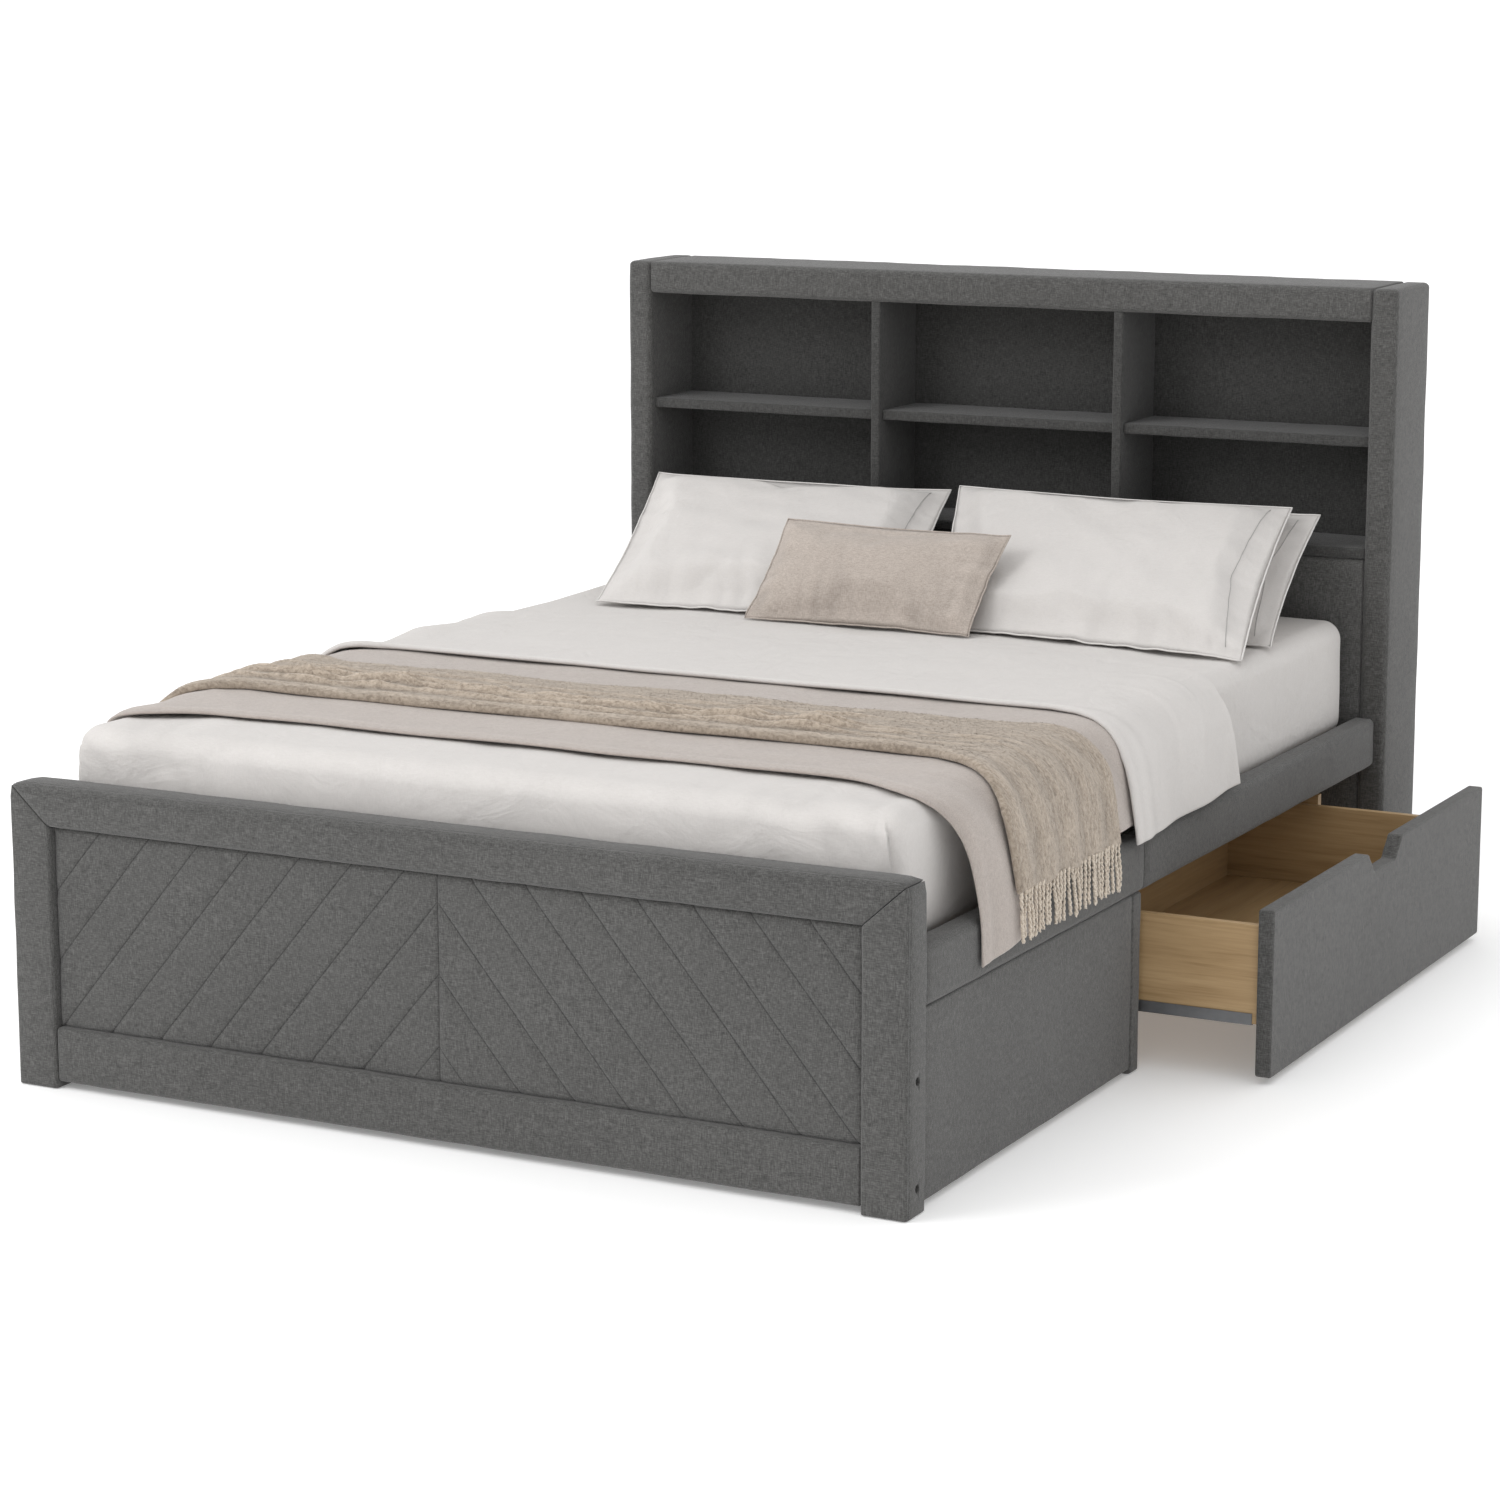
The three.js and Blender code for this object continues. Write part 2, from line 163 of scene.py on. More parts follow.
def woven(name, dark, mid, light, pitch=0.0016, heather=1.0, rough=0.92, sheen=0.25, wrinkle=0.0,
          folds=0.0):
    """A woven cloth: heathered threads both ways, broad tone changes at random, thread bump and soft
    creases; folds sets how deep the painted shade between folds and the painted highlight on them are.
    """
    m, tree, shader = new_material(name)
    coords = object_coords(tree)
    weft = noise(tree, coords, 380, 2, 0.5, (0.3, 1.1, 2.4))
    warp = noise(tree, coords, 380, 2, 0.5, (2.2, 1.4, 0.3))
    slub = noise(tree, coords, 75, 5, 0.75, (0.8, 0.6, 1.4))
    broad = noise(tree, coords, 2.2, 3, 0.5)
    threads = weighted(tree, (weft, 0.5), (warp, 0.5))
    threads = weighted(tree, (threads, 0.84), (slub, 0.16))
    spread = 0.13 / heather
    fac = maths(tree, "ADD", threads, maths(tree, "MULTIPLY", maths(tree, "SUBTRACT", broad, 0.5), 0.07))
    colour = ramp(tree, fac, [(0.5 - spread, dark), (0.5, mid), (0.5 + spread, light)])
    # Painted shade between folds and painted highlight on them, when folds is set.
    if folds:
        colour = shade_folds(tree, colour, folds)
    n = bump(tree, weave_height(tree, coords, pitch), 0.35, 0.0003)
    n = bump(tree, threads, 0.5, 0.0005, n)
    if wrinkle:
        creases = noise(tree, coords, 7.5, 4, 0.55, (1, 1, 1), 1.1)
        n = bump(tree, creases, 1.0, wrinkle, n)
    feed(shader, Base_Color=colour, Roughness=rough, Specular_IOR_Level=0.25, Sheen_Weight=sheen,
         Sheen_Roughness=0.5, Normal=n)
    return m


def sew_lines(m, half_width=0.0019):
    """Draws the quilting into a cloth: thin sunk lines that slope down and away from the centre, darkened
    in colour as painted shade in their grooves.
    """
    tree = m.node_tree
    shader = tree.nodes["Principled BSDF"]
    x, _, z = axes(tree, object_coords(tree))
    centre = maths(tree, "ABSOLUTE", x)
    out = maths(tree, "MULTIPLY", centre, math.sin(CHEVRON_ANGLE))
    up = maths(tree, "MULTIPLY", maths(tree, "SUBTRACT", z, PANEL_TOP), math.cos(CHEVRON_ANGLE))
    across = maths(tree, "SUBTRACT", CHEVRON_FIRST * math.sin(CHEVRON_ANGLE), maths(tree, "ADD", out, up))
    half_step = CHEVRON_PITCH * math.sin(CHEVRON_ANGLE) / 2
    line = maths(tree, "PINGPONG", across, half_step)
    beyond = maths(tree, "LESS_THAN", across, -half_step)
    near = maths(tree, "MINIMUM", maths(tree, "ADD", line, beyond), centre)
    sunk = maths(tree, "SUBTRACT", 1.0, maths(tree, "DIVIDE", near, half_width), clamp=True)
    # The sunk lines' colour is multiplied towards dark grey: painted shade in the grooves.
    before = shader.inputs["Base Color"].links[0].from_socket
    mix = node(tree, "ShaderNodeMix", data_type="RGBA", blend_type="MULTIPLY")
    tree.links.new(maths(tree, "MULTIPLY", sunk, 0.75), mix.inputs[0])
    tree.links.new(before, mix.inputs[6])
    mix.inputs[7].default_value = (0.35, 0.35, 0.35, 1)
    inner = shader.inputs["Normal"].links[0].from_socket
    relief = bump(tree, maths(tree, "SUBTRACT", 1.0, sunk), 0.6, 0.0012, inner)
    feed(shader, Base_Color=mix.outputs[2], Normal=relief)
    return m


def fleece(name, dark, mid, light):
    """Brushed pile with short tufts, with painted shade between its rumples and painted highlight on them.
    """
    m, tree, shader = new_material(name)
    coords = object_coords(tree)
    tufts = noise(tree, coords, 260, 4, 0.7, (0.5, 1.2, 0.5), 0.5)
    clumps = noise(tree, coords, 62, 5, 0.6, (0.4, 1.4, 0.45), 0.6)
    fac = weighted(tree, (tufts, 0.68), (clumps, 0.32))
    colour = ramp(tree, fac, [(0.395, dark), (0.5, mid), (0.61, light)])
    n = bump(tree, tufts, 0.8, 0.002, bump(tree, clumps, 0.8, 0.004))
    # The base colour carries painted shade between rumples and painted highlight on them.
    feed(shader, Base_Color=shade_folds(tree, colour, 0.46), Roughness=1.0, Specular_IOR_Level=0.1,
         Sheen_Weight=0.25, Sheen_Roughness=0.6, Normal=n)
    return m


def birch(name, along):
    """Pale close-grained wood whose grain runs along one axis."""
    m, tree, shader = new_material(name)
    coords = object_coords(tree)
    fine = [9.0, 9.0, 9.0]
    fine[along] = 0.35
    wide = [2.6, 2.6, 2.6]
    wide[along] = 0.16
    grain = noise(tree, coords, 26, 5, 0.6, fine, 0.3)
    figure = noise(tree, coords, 9, 4, 0.55, wide, 1.2)
    blotch = noise(tree, coords, 3.0, 2, 0.5)
    fac = weighted(tree, (grain, 0.45), (figure, 0.4), (blotch, 0.15))
    colour = ramp(tree, fac, [(0.34, (0.30, 0.188, 0.085)), (0.47, (0.40, 0.265, 0.130)),
                              (0.62, (0.475, 0.325, 0.170))])
    rough = maths(tree, "ADD", maths(tree, "MULTIPLY", grain, 0.25), 0.38)
    feed(shader, Base_Color=colour, Roughness=rough, Normal=bump(tree, grain, 0.35, 0.0006))
    return m


def metal(name, colour, rough):
    m, tree, shader = new_material(name)
    coords = object_coords(tree)
    drawn = noise(tree, coords, 60, 4, 0.6, (0.1, 3, 3))
    worn = noise(tree, coords, 14, 4, 0.6)
    light = tuple(min(1, c * 1.15) for c in colour)
    dark = tuple(c * 0.8 for c in colour)
    feed(shader, Base_Color=ramp(tree, worn, [(0.3, dark), (0.7, light)]), Metallic=0.9,
         Roughness=maths(tree, "ADD", maths(tree, "MULTIPLY", drawn, 0.3), rough - 0.15),
         Normal=bump(tree, drawn, 0.15, 0.0004))
    return m


GREY_TONES = ((0.044, 0.0432, 0.0416), (0.082, 0.0810, 0.0782), (0.132, 0.130, 0.126))
GREY = woven("grey_linen", *GREY_TONES, pitch=0.0018, sheen=0.2)
# A darker grey fabric for the headboard's compartments, made darker still as painted shade of their
# recesses.
LINING_AND_SHADE = woven("dark_linen_and_shade", (0.030, 0.0296, 0.0287), (0.054, 0.0535, 0.0517), (0.087, 0.086, 0.0837),
               pitch=0.0018, sheen=0.2)
# folds is how deep the painted shade between folds and the painted highlight on them are.
COTTON = woven("white_cotton", (0.585, 0.56, 0.54), (0.63, 0.605, 0.585), (0.665, 0.64, 0.62),
               pitch=0.0009, heather=0.6, rough=0.85, sheen=0.15, wrinkle=0.007, folds=0.10)
PERCALE = woven("pillow_cotton", (0.595, 0.57, 0.55), (0.64, 0.615, 0.595), (0.675, 0.65, 0.63),
                pitch=0.0009, heather=0.6, rough=0.85, sheen=0.15, wrinkle=0.005, folds=0.09)
TAUPE = woven("taupe_blanket", (0.33, 0.285, 0.258), (0.405, 0.355, 0.322), (0.47, 0.417, 0.38),
              pitch=0.0022, heather=0.9, rough=1.0, sheen=0.35, wrinkle=0.004, folds=0.14)
LINEN = woven("beige_linen", (0.36, 0.312, 0.274), (0.435, 0.38, 0.338), (0.52, 0.46, 0.412),
              pitch=0.0016, heather=1.1, rough=0.95, sheen=0.2, wrinkle=0.004, folds=0.26)
FLEECE = fleece("tan_fleece", (0.265, 0.217, 0.171), (0.385, 0.321, 0.258), (0.475, 0.402, 0.328))
TASSEL = woven("cream_tassel", (0.49, 0.42, 0.342), (0.62, 0.54, 0.45), (0.71, 0.64, 0.55),
               pitch=0.002, heather=1.4, rough=1.0, sheen=0.3)
THREAD = woven("grey_thread", (0.050, 0.050, 0.049), (0.085, 0.085, 0.083), (0.13, 0.13, 0.127),
               pitch=0.0008)
# The pillows' white piping, a little lighter than the pillow cotton as painted light against the thin
# tube's own shade.
PIPING_AND_HIGHLIGHT = woven("white_piping_and_highlight", (0.64, 0.62, 0.60), (0.69, 0.67, 0.65), (0.73, 0.71, 0.69),
               pitch=0.0012, heather=0.8, rough=0.9)
# A grey for the pillowcase hem's stitch line, darker than the cotton as painted shade of the hem's fold.
HEM_STITCH_SHADE = woven("pillow_seam_shade", (0.33, 0.32, 0.31), (0.38, 0.37, 0.36), (0.43, 0.42, 0.41), pitch=0.0008)
BIRCH = [birch("birch_across", 0), birch("birch_along", 1), birch("birch_upright", 2)]
STEEL = metal("zinc_steel", (0.24, 0.245, 0.255), 0.40)
DARK_STEEL = metal("dark_bolt", (0.09, 0.09, 0.095), 0.5)


# ---------------------------------------------------------------- mesh helpers
def link(name, data):
    """An object in the scene that shows this data."""
    obj = bpy.data.objects.new(name, data)
    bpy.context.scene.collection.objects.link(obj)
    return obj


def new_mesh(name, verts, faces):
    data = bpy.data.meshes.new(name)
    data.from_pydata([tuple(v) for v in verts], [], [tuple(f) for f in faces])
    return data


def add_piece(name, data, body, slot, stands_for=()):
    """Puts a finished mesh on a body and in the place of CAD nodes; the colour slot is not used."""
    obj = link(name, data)
    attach(obj, body)
    if stands_for:
        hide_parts(*stands_for)
    return obj


def make_object(name, verts, faces, material, slot, body="bed", stands_for=(), smooth=True):
    data = new_mesh(name, verts, faces)
    data.validate()
    data.materials.append(material)
    data.polygons.foreach_set("use_smooth", [smooth] * len(data.polygons))
    return add_piece(name, data, body, slot, stands_for)


def unit(rows):
    """Rows scaled to length one."""
    return rows / np.maximum(np.linalg.norm(rows, axis=1, keepdims=True), 1e-9)


def climb(value, span):
    """Rises evenly from 0 at nothing to 1 at span, and stays there."""
    return np.clip(value / span, 0, 1)


def bell(distance, width):
    return np.exp(-(distance / width) ** 2)


def stands_out(height, reach, scale):
    """How far each point of a height grid is above (1) or below (-1) its surroundings."""
    around = height
    for axis in (0, 1):
        wide = np.pad(around, [(reach, reach) if a == axis else (0, 0) for a in (0, 1)], mode="edge")
        around = np.mean([np.take(wide, range(k, k + height.shape[axis]), axis)
                          for k in range(2 * reach + 1)], axis=0)
    return np.clip((height - around) / scale, -1, 1)


def set_painted_fold_shade(obj, values):
    """Stores painted fold shade and painted highlight on the first vertices of a mesh; the rest stay
    neutral.
    """
    full = np.zeros(len(obj.data.vertices))
    full[:len(values)] = values
    obj.data.attributes.new("painted_fold_shade", "FLOAT", "POINT").data.foreach_set("value", full)


def waves(points, seed, wavelength, count=10):
    """Smooth, repeatable noise of about unit size at each point."""
    rng = np.random.default_rng(seed)
    total = np.zeros(len(points))
    for _ in range(count):
        direction = rng.normal(size=3)
        direction /= np.linalg.norm(direction)
        k = 2 * math.pi / (wavelength * rng.uniform(0.7, 1.6))
        total += np.sin(points @ (direction * k) + rng.uniform(0, 2 * math.pi))
    return total / math.sqrt(count)


def ridges(points, seed, wavelength):
    """Sharp valleys between rounded crests, from about -0.9 up."""
    return 1.7 * np.abs(waves(points, seed, wavelength)) - 0.9


def grid_lines(lo, hi, r, step, extra=(), turn=4):
    """Positions along one side of a box: close together round its edges, in turn steps, then evenly
    spaced, with some extra ones."""
    turns = [math.radians(45) * (1 - i / turn) for i in range(turn + 1)]
    start = [lo + r - r * math.tan(t) for t in turns]
    end = [hi - r + r * math.tan(t) for t in reversed(turns)]
    count = max(2, int(round((hi - lo - 2 * r) / step)) + 1)
    middle = list(np.linspace(lo + r, hi - r, count))[1:-1]
    middle = [m for m in middle if all(abs(m - e) > 0.0035 for e in extra)]
    return np.array(sorted(start + middle + list(extra) + end))


def box_shell(xs, ys, zs):
    """Vertices and outward quads of a box whose sides are gridded by these lines."""
    index, verts, faces = {}, [], []
    n = (len(xs) - 1, len(ys) - 1, len(zs) - 1)

    def vert(i, j, k):
        key = (i, j, k)
        if key not in index:
            index[key] = len(verts)
            verts.append((xs[i], ys[j], zs[k]))
        return index[key]

    for axis in range(3):
        a, b = [(1, 2), (2, 0), (0, 1)][axis]
        for end in (0, n[axis]):
            for p in range(n[a]):
                for q in range(n[b]):
                    quad = []
                    for dp, dq in ((0, 0), (1, 0), (1, 1), (0, 1)):
                        ijk = [0, 0, 0]
                        ijk[axis], ijk[a], ijk[b] = end, p + dp, q + dq
                        quad.append(vert(*ijk))
                    faces.append(quad if end else quad[::-1])
    return np.array(verts), faces


def round_box(p, lo, hi, r):
    """Points of a box drawn in to round edges: their centres of rounding, places and normals."""
    core = np.clip(p, lo + r, hi - r)
    d = unit((p - core) / r)
    return core, core + d * r, unit(d / r)


def soft_box(name, lo, hi, radii, puff, step, material=GREY, body="bed", slot="grey_upholstery",
             stands_for=(), seams=(), bend=None, rough=0.0004, seed=1):
    """A padded, fabric-covered board. seams are (axis, position, facing axis, facing sign) grooves;
    bend moves the finished points, as for a mitred end."""
    lo, hi, r = np.array(lo, float), np.array(hi, float), np.array(radii, float)
    extra = [[], [], []]
    for axis, at, *_ in seams:
        extra[axis] += [at - 0.004, at - 0.0015, at, at + 0.0015, at + 0.004]
    lines = [grid_lines(lo[i], hi[i], r[i], step, extra[i]) for i in range(3)]
    p, faces = box_shell(*lines)
    _, out, normal = round_box(p, lo, hi, r)
    # The padding swells out within about 20 mm of each edge.
    edge = np.minimum(p - lo, hi - p)
    swell = 1 - np.exp(-np.maximum(edge, 0) / 0.02)
    lift = np.zeros(len(p))
    for axis in range(3):
        a, b = [i for i in range(3) if i != axis]
        lift += normal[:, axis] ** 2 * swell[:, a] * swell[:, b] * puff
    lift += waves(out, seed, 0.11) * rough
    for axis, at, facing, sign in seams:
        on = normal[:, facing] * sign > 0.5
        lift -= np.where(on, 0.0016 * bell(p[:, axis] - at, 0.0018), 0)
    out = out + normal * lift[:, None]
    if bend is not None:
        out = bend(out)
    return make_object(name, out, faces, material, slot, body, stands_for)


def cad(name):
    lo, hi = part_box(name)
    return np.array(lo), np.array(hi)


def wrap(name, radii, puff, step, seed, **settings):
    """A soft box in the place of one CAD node."""
    lo, hi = cad(name)
    soft_box(name + "_cover", lo, hi, radii, puff, step, stands_for=[name], seed=seed, **settings)


def board(name, along, body="bed", r=0.0012):
    """A plain wooden board in the place of one CAD node, its grain along one axis."""
    lo, hi = cad(name)
    soft_box(name + "_wood", lo, hi, (r, r, r), 0.0, 0.08, BIRCH[along], body, "birch_wood", [name],
             rough=0.0)


def quads(ids):
    """Faces of a grid of points, from the points' numbers."""
    return [tuple(int(ids[j + up, i + on]) for up, on in ((0, 0), (0, 1), (1, 1), (1, 0)))
            for j in range(ids.shape[0] - 1) for i in range(ids.shape[1] - 1)]


def rim_of(ids):
    """The numbers round the edge of a grid of points, in order."""
    return [int(i) for i in (*ids[0, :], *ids[1:, -1], *ids[-1, -2::-1], *ids[-2:0:-1, 0])]


def two_layers(rows, columns):
    """A closed grid with an upper and an under side: the upper points' numbers, which of them have a
    point of their own below, and the faces. Both sides share the rim."""
    ids = np.arange(rows * columns).reshape(rows, columns)
    inner = np.zeros((rows, columns), bool)
    inner[1:-1, 1:-1] = True
    under = ids.copy()
    under[inner] = rows * columns + np.arange(inner.sum())
    faces = []
    for top, bottom in zip(quads(ids), quads(under)):
        faces += [top, (bottom[0], bottom[3], bottom[2], bottom[1])]
    return ids, inner, faces


def tube(points, radius, sides, close=False):
    """Vertices and faces of a round bar along points."""
    pts = np.array(points, float)
    n = len(pts)
    if close:
        tangent = np.roll(pts, -1, 0) - np.roll(pts, 1, 0)
    else:
        tangent = np.gradient(pts, axis=0)
    tangent = unit(tangent)
    up = np.tile(UP, (n, 1))
    up[np.abs(tangent[:, 2]) > 0.9] = (0, 1, 0)
    side = unit(np.cross(tangent, up))
    over = np.cross(side, tangent)
    radius = np.broadcast_to(radius, (n,))
    verts, faces = [], []
    for i in range(n):
        for s in range(sides):
            a = 2 * math.pi * s / sides
            verts.append(pts[i] + radius[i] * (math.cos(a) * side[i] + math.sin(a) * over[i]))
    for i in range(n if close else n - 1):
        for s in range(sides):
            a, b = i * sides + s, i * sides + (s + 1) % sides
            j = (i + 1) % n
            c, d = j * sides + (s + 1) % sides, j * sides + s
            faces.append((a, b, c, d))
    if not close:
        faces.append(tuple(range(sides))[::-1])
        faces.append(tuple((n - 1) * sides + s for s in range(sides)))
    return verts, faces


def gather(parts):
    """Several (verts, faces) as one."""
    verts, faces = [], []
    for v, f in parts:
        base = len(verts)
        verts += list(v)
        faces += [tuple(i + base for i in face) for face in f]
    return verts, faces


def stitch_row(start, end, pitch=0.0055, length=0.0036, width=0.0007):
    """A row of thread stitches from start to end, standing a little out of a front face."""
    start, end, out = (np.array(a, float) for a in (start, end, (0, -1, 0)))
    run = end - start
    total = np.linalg.norm(run)
    run /= total
    side = np.cross(run, out)
    parts = []
    for i in range(int(total / pitch)):
        c = start + run * (i + 0.5) * pitch
        v = [c - run * length / 2, c + run * length / 2, c + side * width / 2, c - side * width / 2,
             c + out * width * 0.7, c - out * width * 0.3]
        f = [(0, 2, 4), (2, 1, 4), (1, 3, 4), (3, 0, 4), (2, 0, 5), (1, 2, 5), (3, 1, 5), (0, 3, 5)]
        parts.append((v, f))
    return gather(parts)


def screw(at, axis, radius=0.0035, proud=0.0012):
    """A low domed screw head with a dimple, facing along a level axis."""
    at, axis = np.array(at, float), np.array(axis, float)
    a = np.cross(axis, UP)
    b = np.cross(axis, a)
    verts, faces = [], []
    rings = [(1.0, 0.0), (0.95, 0.55), (0.7, 0.9), (0.3, 1.0)]
    sides = 16
    for share, height in rings:
        for s in range(sides):
            t = 2 * math.pi * s / sides
            verts.append(at + radius * share * (math.cos(t) * a + math.sin(t) * b) + axis * proud * height)
    for k in range(len(rings) - 1):
        for s in range(sides):
            p, q = k * sides + s, k * sides + (s + 1) % sides
            faces.append((p, q, q + sides, p + sides))
    verts.append(at + axis * proud * 0.35)
    centre = len(verts) - 1
    last = (len(rings) - 1) * sides
    faces += [(last + s, last + (s + 1) % sides, centre) for s in range(sides)]
    return verts, faces


def apply_modifier(obj, kind, **settings):
    m = obj.modifiers.new("m", kind)
    for key, value in settings.items():
        setattr(m, key, value)
    bpy.context.view_layer.update()
    depsgraph = bpy.context.evaluated_depsgraph_get()
    fresh = bpy.data.meshes.new_from_object(obj.evaluated_get(depsgraph))
    obj.modifiers.clear()
    old = obj.data
    obj.data = fresh
    bpy.data.meshes.remove(old)


# ---------------------------------------------------------------- footboard
def round_corners(points, radius=0.015):
    """Rounds the footboard's two upper corners as seen from the front."""
    dx = np.maximum(np.abs(points[:, 0]) - (FOOT_HALF - radius), 0)
    dz = np.maximum(points[:, 2] - (FOOT_TOP - radius), 0)
    pull = np.maximum(dx, dz) / np.maximum(np.hypot(dx, dz), 1e-9)
    pull = np.where((dx > 0) & (dz > 0), pull, 1)
    points[:, 0] -= np.sign(points[:, 0]) * dx * (1 - pull)
    points[:, 2] -= dz * (1 - pull)
    return points


def mitre_post(points):
    outward = climb(np.abs(points[:, 0]) - POST_IN, POST_WIDTH)
    top = OPEN_TOP + outward * (FOOT_TOP - OPEN_TOP)
    points[:, 2] *= top / FOOT_TOP
    return round_corners(points)


def mitre_rail(points):
    half = POST_IN + climb(points[:, 2] - OPEN_TOP, FOOT_TOP - OPEN_TOP) * POST_WIDTH
    points[:, 0] *= half / FOOT_HALF
    return round_corners(points)


def post_with_holes(side, label):
    name = f"footboard_{label}_post"
    lo, hi = cad(name)
    obj = soft_box(name + "_cover", lo, (hi[0], hi[1], FOOT_TOP - GAP), (0.006, 0.007, 0.0025), 0.0012,
                   0.02, stands_for=[name], bend=mitre_post, seed=3 + side,
                   seams=[(1, FOOT + 0.007, 0, side)])
    for z in BOLT_HEIGHTS:
        cutter = bpy.data.meshes.new("bolt_cutter")
        bm = bmesh.new()
        bmesh.ops.create_cone(bm, cap_ends=True, segments=32, radius1=0.007, radius2=0.007, depth=0.024)
        bmesh.ops.rotate(bm, verts=bm.verts, matrix=Matrix.Rotation(math.pi / 2, 3, "Y"))
        bmesh.ops.translate(bm, verts=bm.verts, vec=(side * FOOT_HALF, FOOT + BOLT_SETBACK, z))
        bm.to_mesh(cutter)
        bm.free()
        tool = link("bolt_cutter", cutter)
        apply_modifier(obj, "BOOLEAN", operation="DIFFERENCE", object=tool, solver="EXACT")
        bpy.data.objects.remove(tool)


def bolt(side, z):
    """A hexagon bolt head, sunk in its hole, with a socket in its face."""
    verts = []
    for out, radius in ((-0.0012, 0.0066), (0, 0.0066), (0.0045, 0.0058), (0.001, 0.0032)):
        x = side * (FOOT_HALF - 0.0105) + side * out
        verts += [(x, FOOT + BOLT_SETBACK + radius * math.cos(t), z + radius * math.sin(t))
                  for t in np.linspace(0, 2 * math.pi, 6, endpoint=False)]
    faces = [tuple(range(6))]
    for k in (0, 6, 12):
        faces += [(k + i, k + (i + 1) % 6, k + 6 + (i + 1) % 6, k + 6 + i) for i in range(6)]
    faces.append(tuple(range(18, 24)))
    return verts, faces


for side, label in SIDES:
    post_with_holes(side, label)
    bolts = [bolt(side, z) for z in BOLT_HEIGHTS]
    make_object(f"footboard_{label}_bolts", *gather(bolts), DARK_STEEL, "grey_steel", smooth=False)

lo, hi = cad("footboard_top_rail")
soft_box("footboard_top_rail_cover", (GAP - FOOT_HALF, lo[1], lo[2]), (FOOT_HALF - GAP, hi[1], hi[2]),
         (0.0025, 0.010, 0.009), 0.002, 0.022, stands_for=["footboard_top_rail"], bend=mitre_rail,
         seams=[(2, FOOT_TOP - 0.010, 1, -1), (1, FOOT + 0.010, 2, 1)], seed=7)
wrap("footboard_bottom_rail", (0.004, 0.007, 0.007), 0.0018, 0.025, 8)


def chevron_panel():
    """The quilted panel: soft ridges between sewn lines that slope away from the centre seam."""
    name = "footboard_chevron_panel"
    lo, hi = cad(name)
    xs = np.arange(lo[0], hi[0] + 1e-6, (hi[0] - lo[0]) / 660)
    zs = np.linspace(lo[2], hi[2], 150)
    X, Z = np.meshgrid(xs, zs)
    slant, drop = math.sin(CHEVRON_ANGLE), math.cos(CHEVRON_ANGLE)
    # Distance to the nearest sewn line of this half, measured square to the line.
    across = np.abs(X) * slant + (Z - PANEL_TOP) * drop
    lines = [(CHEVRON_FIRST - i * CHEVRON_PITCH) * slant for i in range(9)]
    d = np.min([np.abs(across - c) for c in lines], axis=0)
    d = np.minimum(d, np.abs(X))
    edge = np.minimum.reduce([X - lo[0], hi[0] - X, Z - lo[2], hi[2] - Z])
    ridge = 1 - np.exp(-d / 0.0055)
    puff = -0.0010 + 0.0030 * ridge
    puff -= 0.006 * np.exp(-edge / 0.004)
    pts = np.stack([X.ravel(), np.zeros(X.size), Z.ravel()], 1)
    puff = puff.ravel() + waves(pts, 21, 0.07) * 0.00035 + waves(pts, 22, 0.2) * 0.0006
    front = np.stack([X.ravel(), lo[1] - puff, Z.ravel()], 1)
    ids = np.arange(X.size).reshape(X.shape)
    faces, rim = quads(ids), rim_of(ids)
    verts = list(map(tuple, front))
    base = len(verts)
    verts += [(verts[i][0], hi[1], verts[i][2]) for i in rim]
    n = len(rim)
    faces += [(rim[(k + 1) % n], rim[k], base + k, base + (k + 1) % n) for k in range(n)]
    faces.append(tuple(base + k for k in range(n))[::-1])
    quilted = sew_lines(woven("quilted_linen", *GREY_TONES, pitch=0.0018, sheen=0.2))
    make_object(name + "_cover", verts, faces, quilted, "grey_upholstery", stands_for=[name])
    rows = []
    y = lo[1] + 0.0010
    margin, by_seam = 0.004, 0.003
    for c in lines:
        # Each line is cut off by the panel's edges and by the centre seam.
        def x_at(z):
            return (c - (z - PANEL_TOP) * drop) / slant
        upper, lower = hi[2] - margin, lo[2] + margin
        if x_at(upper) < by_seam:
            upper = PANEL_TOP + (c - by_seam * slant) / drop
        if x_at(lower) > hi[0] - margin:
            lower = PANEL_TOP + (c - (hi[0] - margin) * slant) / drop
        if upper - lower > 0.01:
            rows += [stitch_row((side * x_at(lower), y, lower), (side * x_at(upper), y, upper))
                     for side in (-1, 1)]
    y = lo[1] - 0.0006
    rows += [stitch_row((x, y, lo[2] + 0.006), (x, y, hi[2] - 0.006)) for x in (-0.0035, 0.0035)]
    make_object("footboard_chevron_stitches", *gather(rows), THREAD, "grey_upholstery", smooth=False)


chevron_panel()

# Top stitching along the footboard.
stitch_y, stitch_z = FOOT - 0.0022, FOOT_TOP - 0.0135
top_row = stitch_row((-0.80, stitch_y, stitch_z), (0.80, stitch_y, stitch_z))
make_object("footboard_top_stitches", *top_row, THREAD, "grey_upholstery", smooth=False)

# ---------------------------------------------------------------- side rails and panels
for side, label in SIDES:
    for part, seed in (("foot", 31), ("head", 32)):
        wrap(f"{label}_rail_{part}", (0.011, 0.003, 0.012), 0.0025, 0.025, seed + side)
    wrap(f"{label}_side_panel", (0.004, 0.003, 0.004), 0.0012, 0.03, 35 + side)
    wrap(f"{label}_middle_leg", (0.008, 0.007, 0.006), 0.001, 0.02, 37 + side)
    board(f"{label}_slat_ledge", 1)
board("centre_beam", 1, r=0.003)
for name in ("centre_leg_middle", "centre_leg_foot"):
    board(name, 2, r=0.003)
for name in ("foot_partition", "head_partition"):
    board(name, 0)

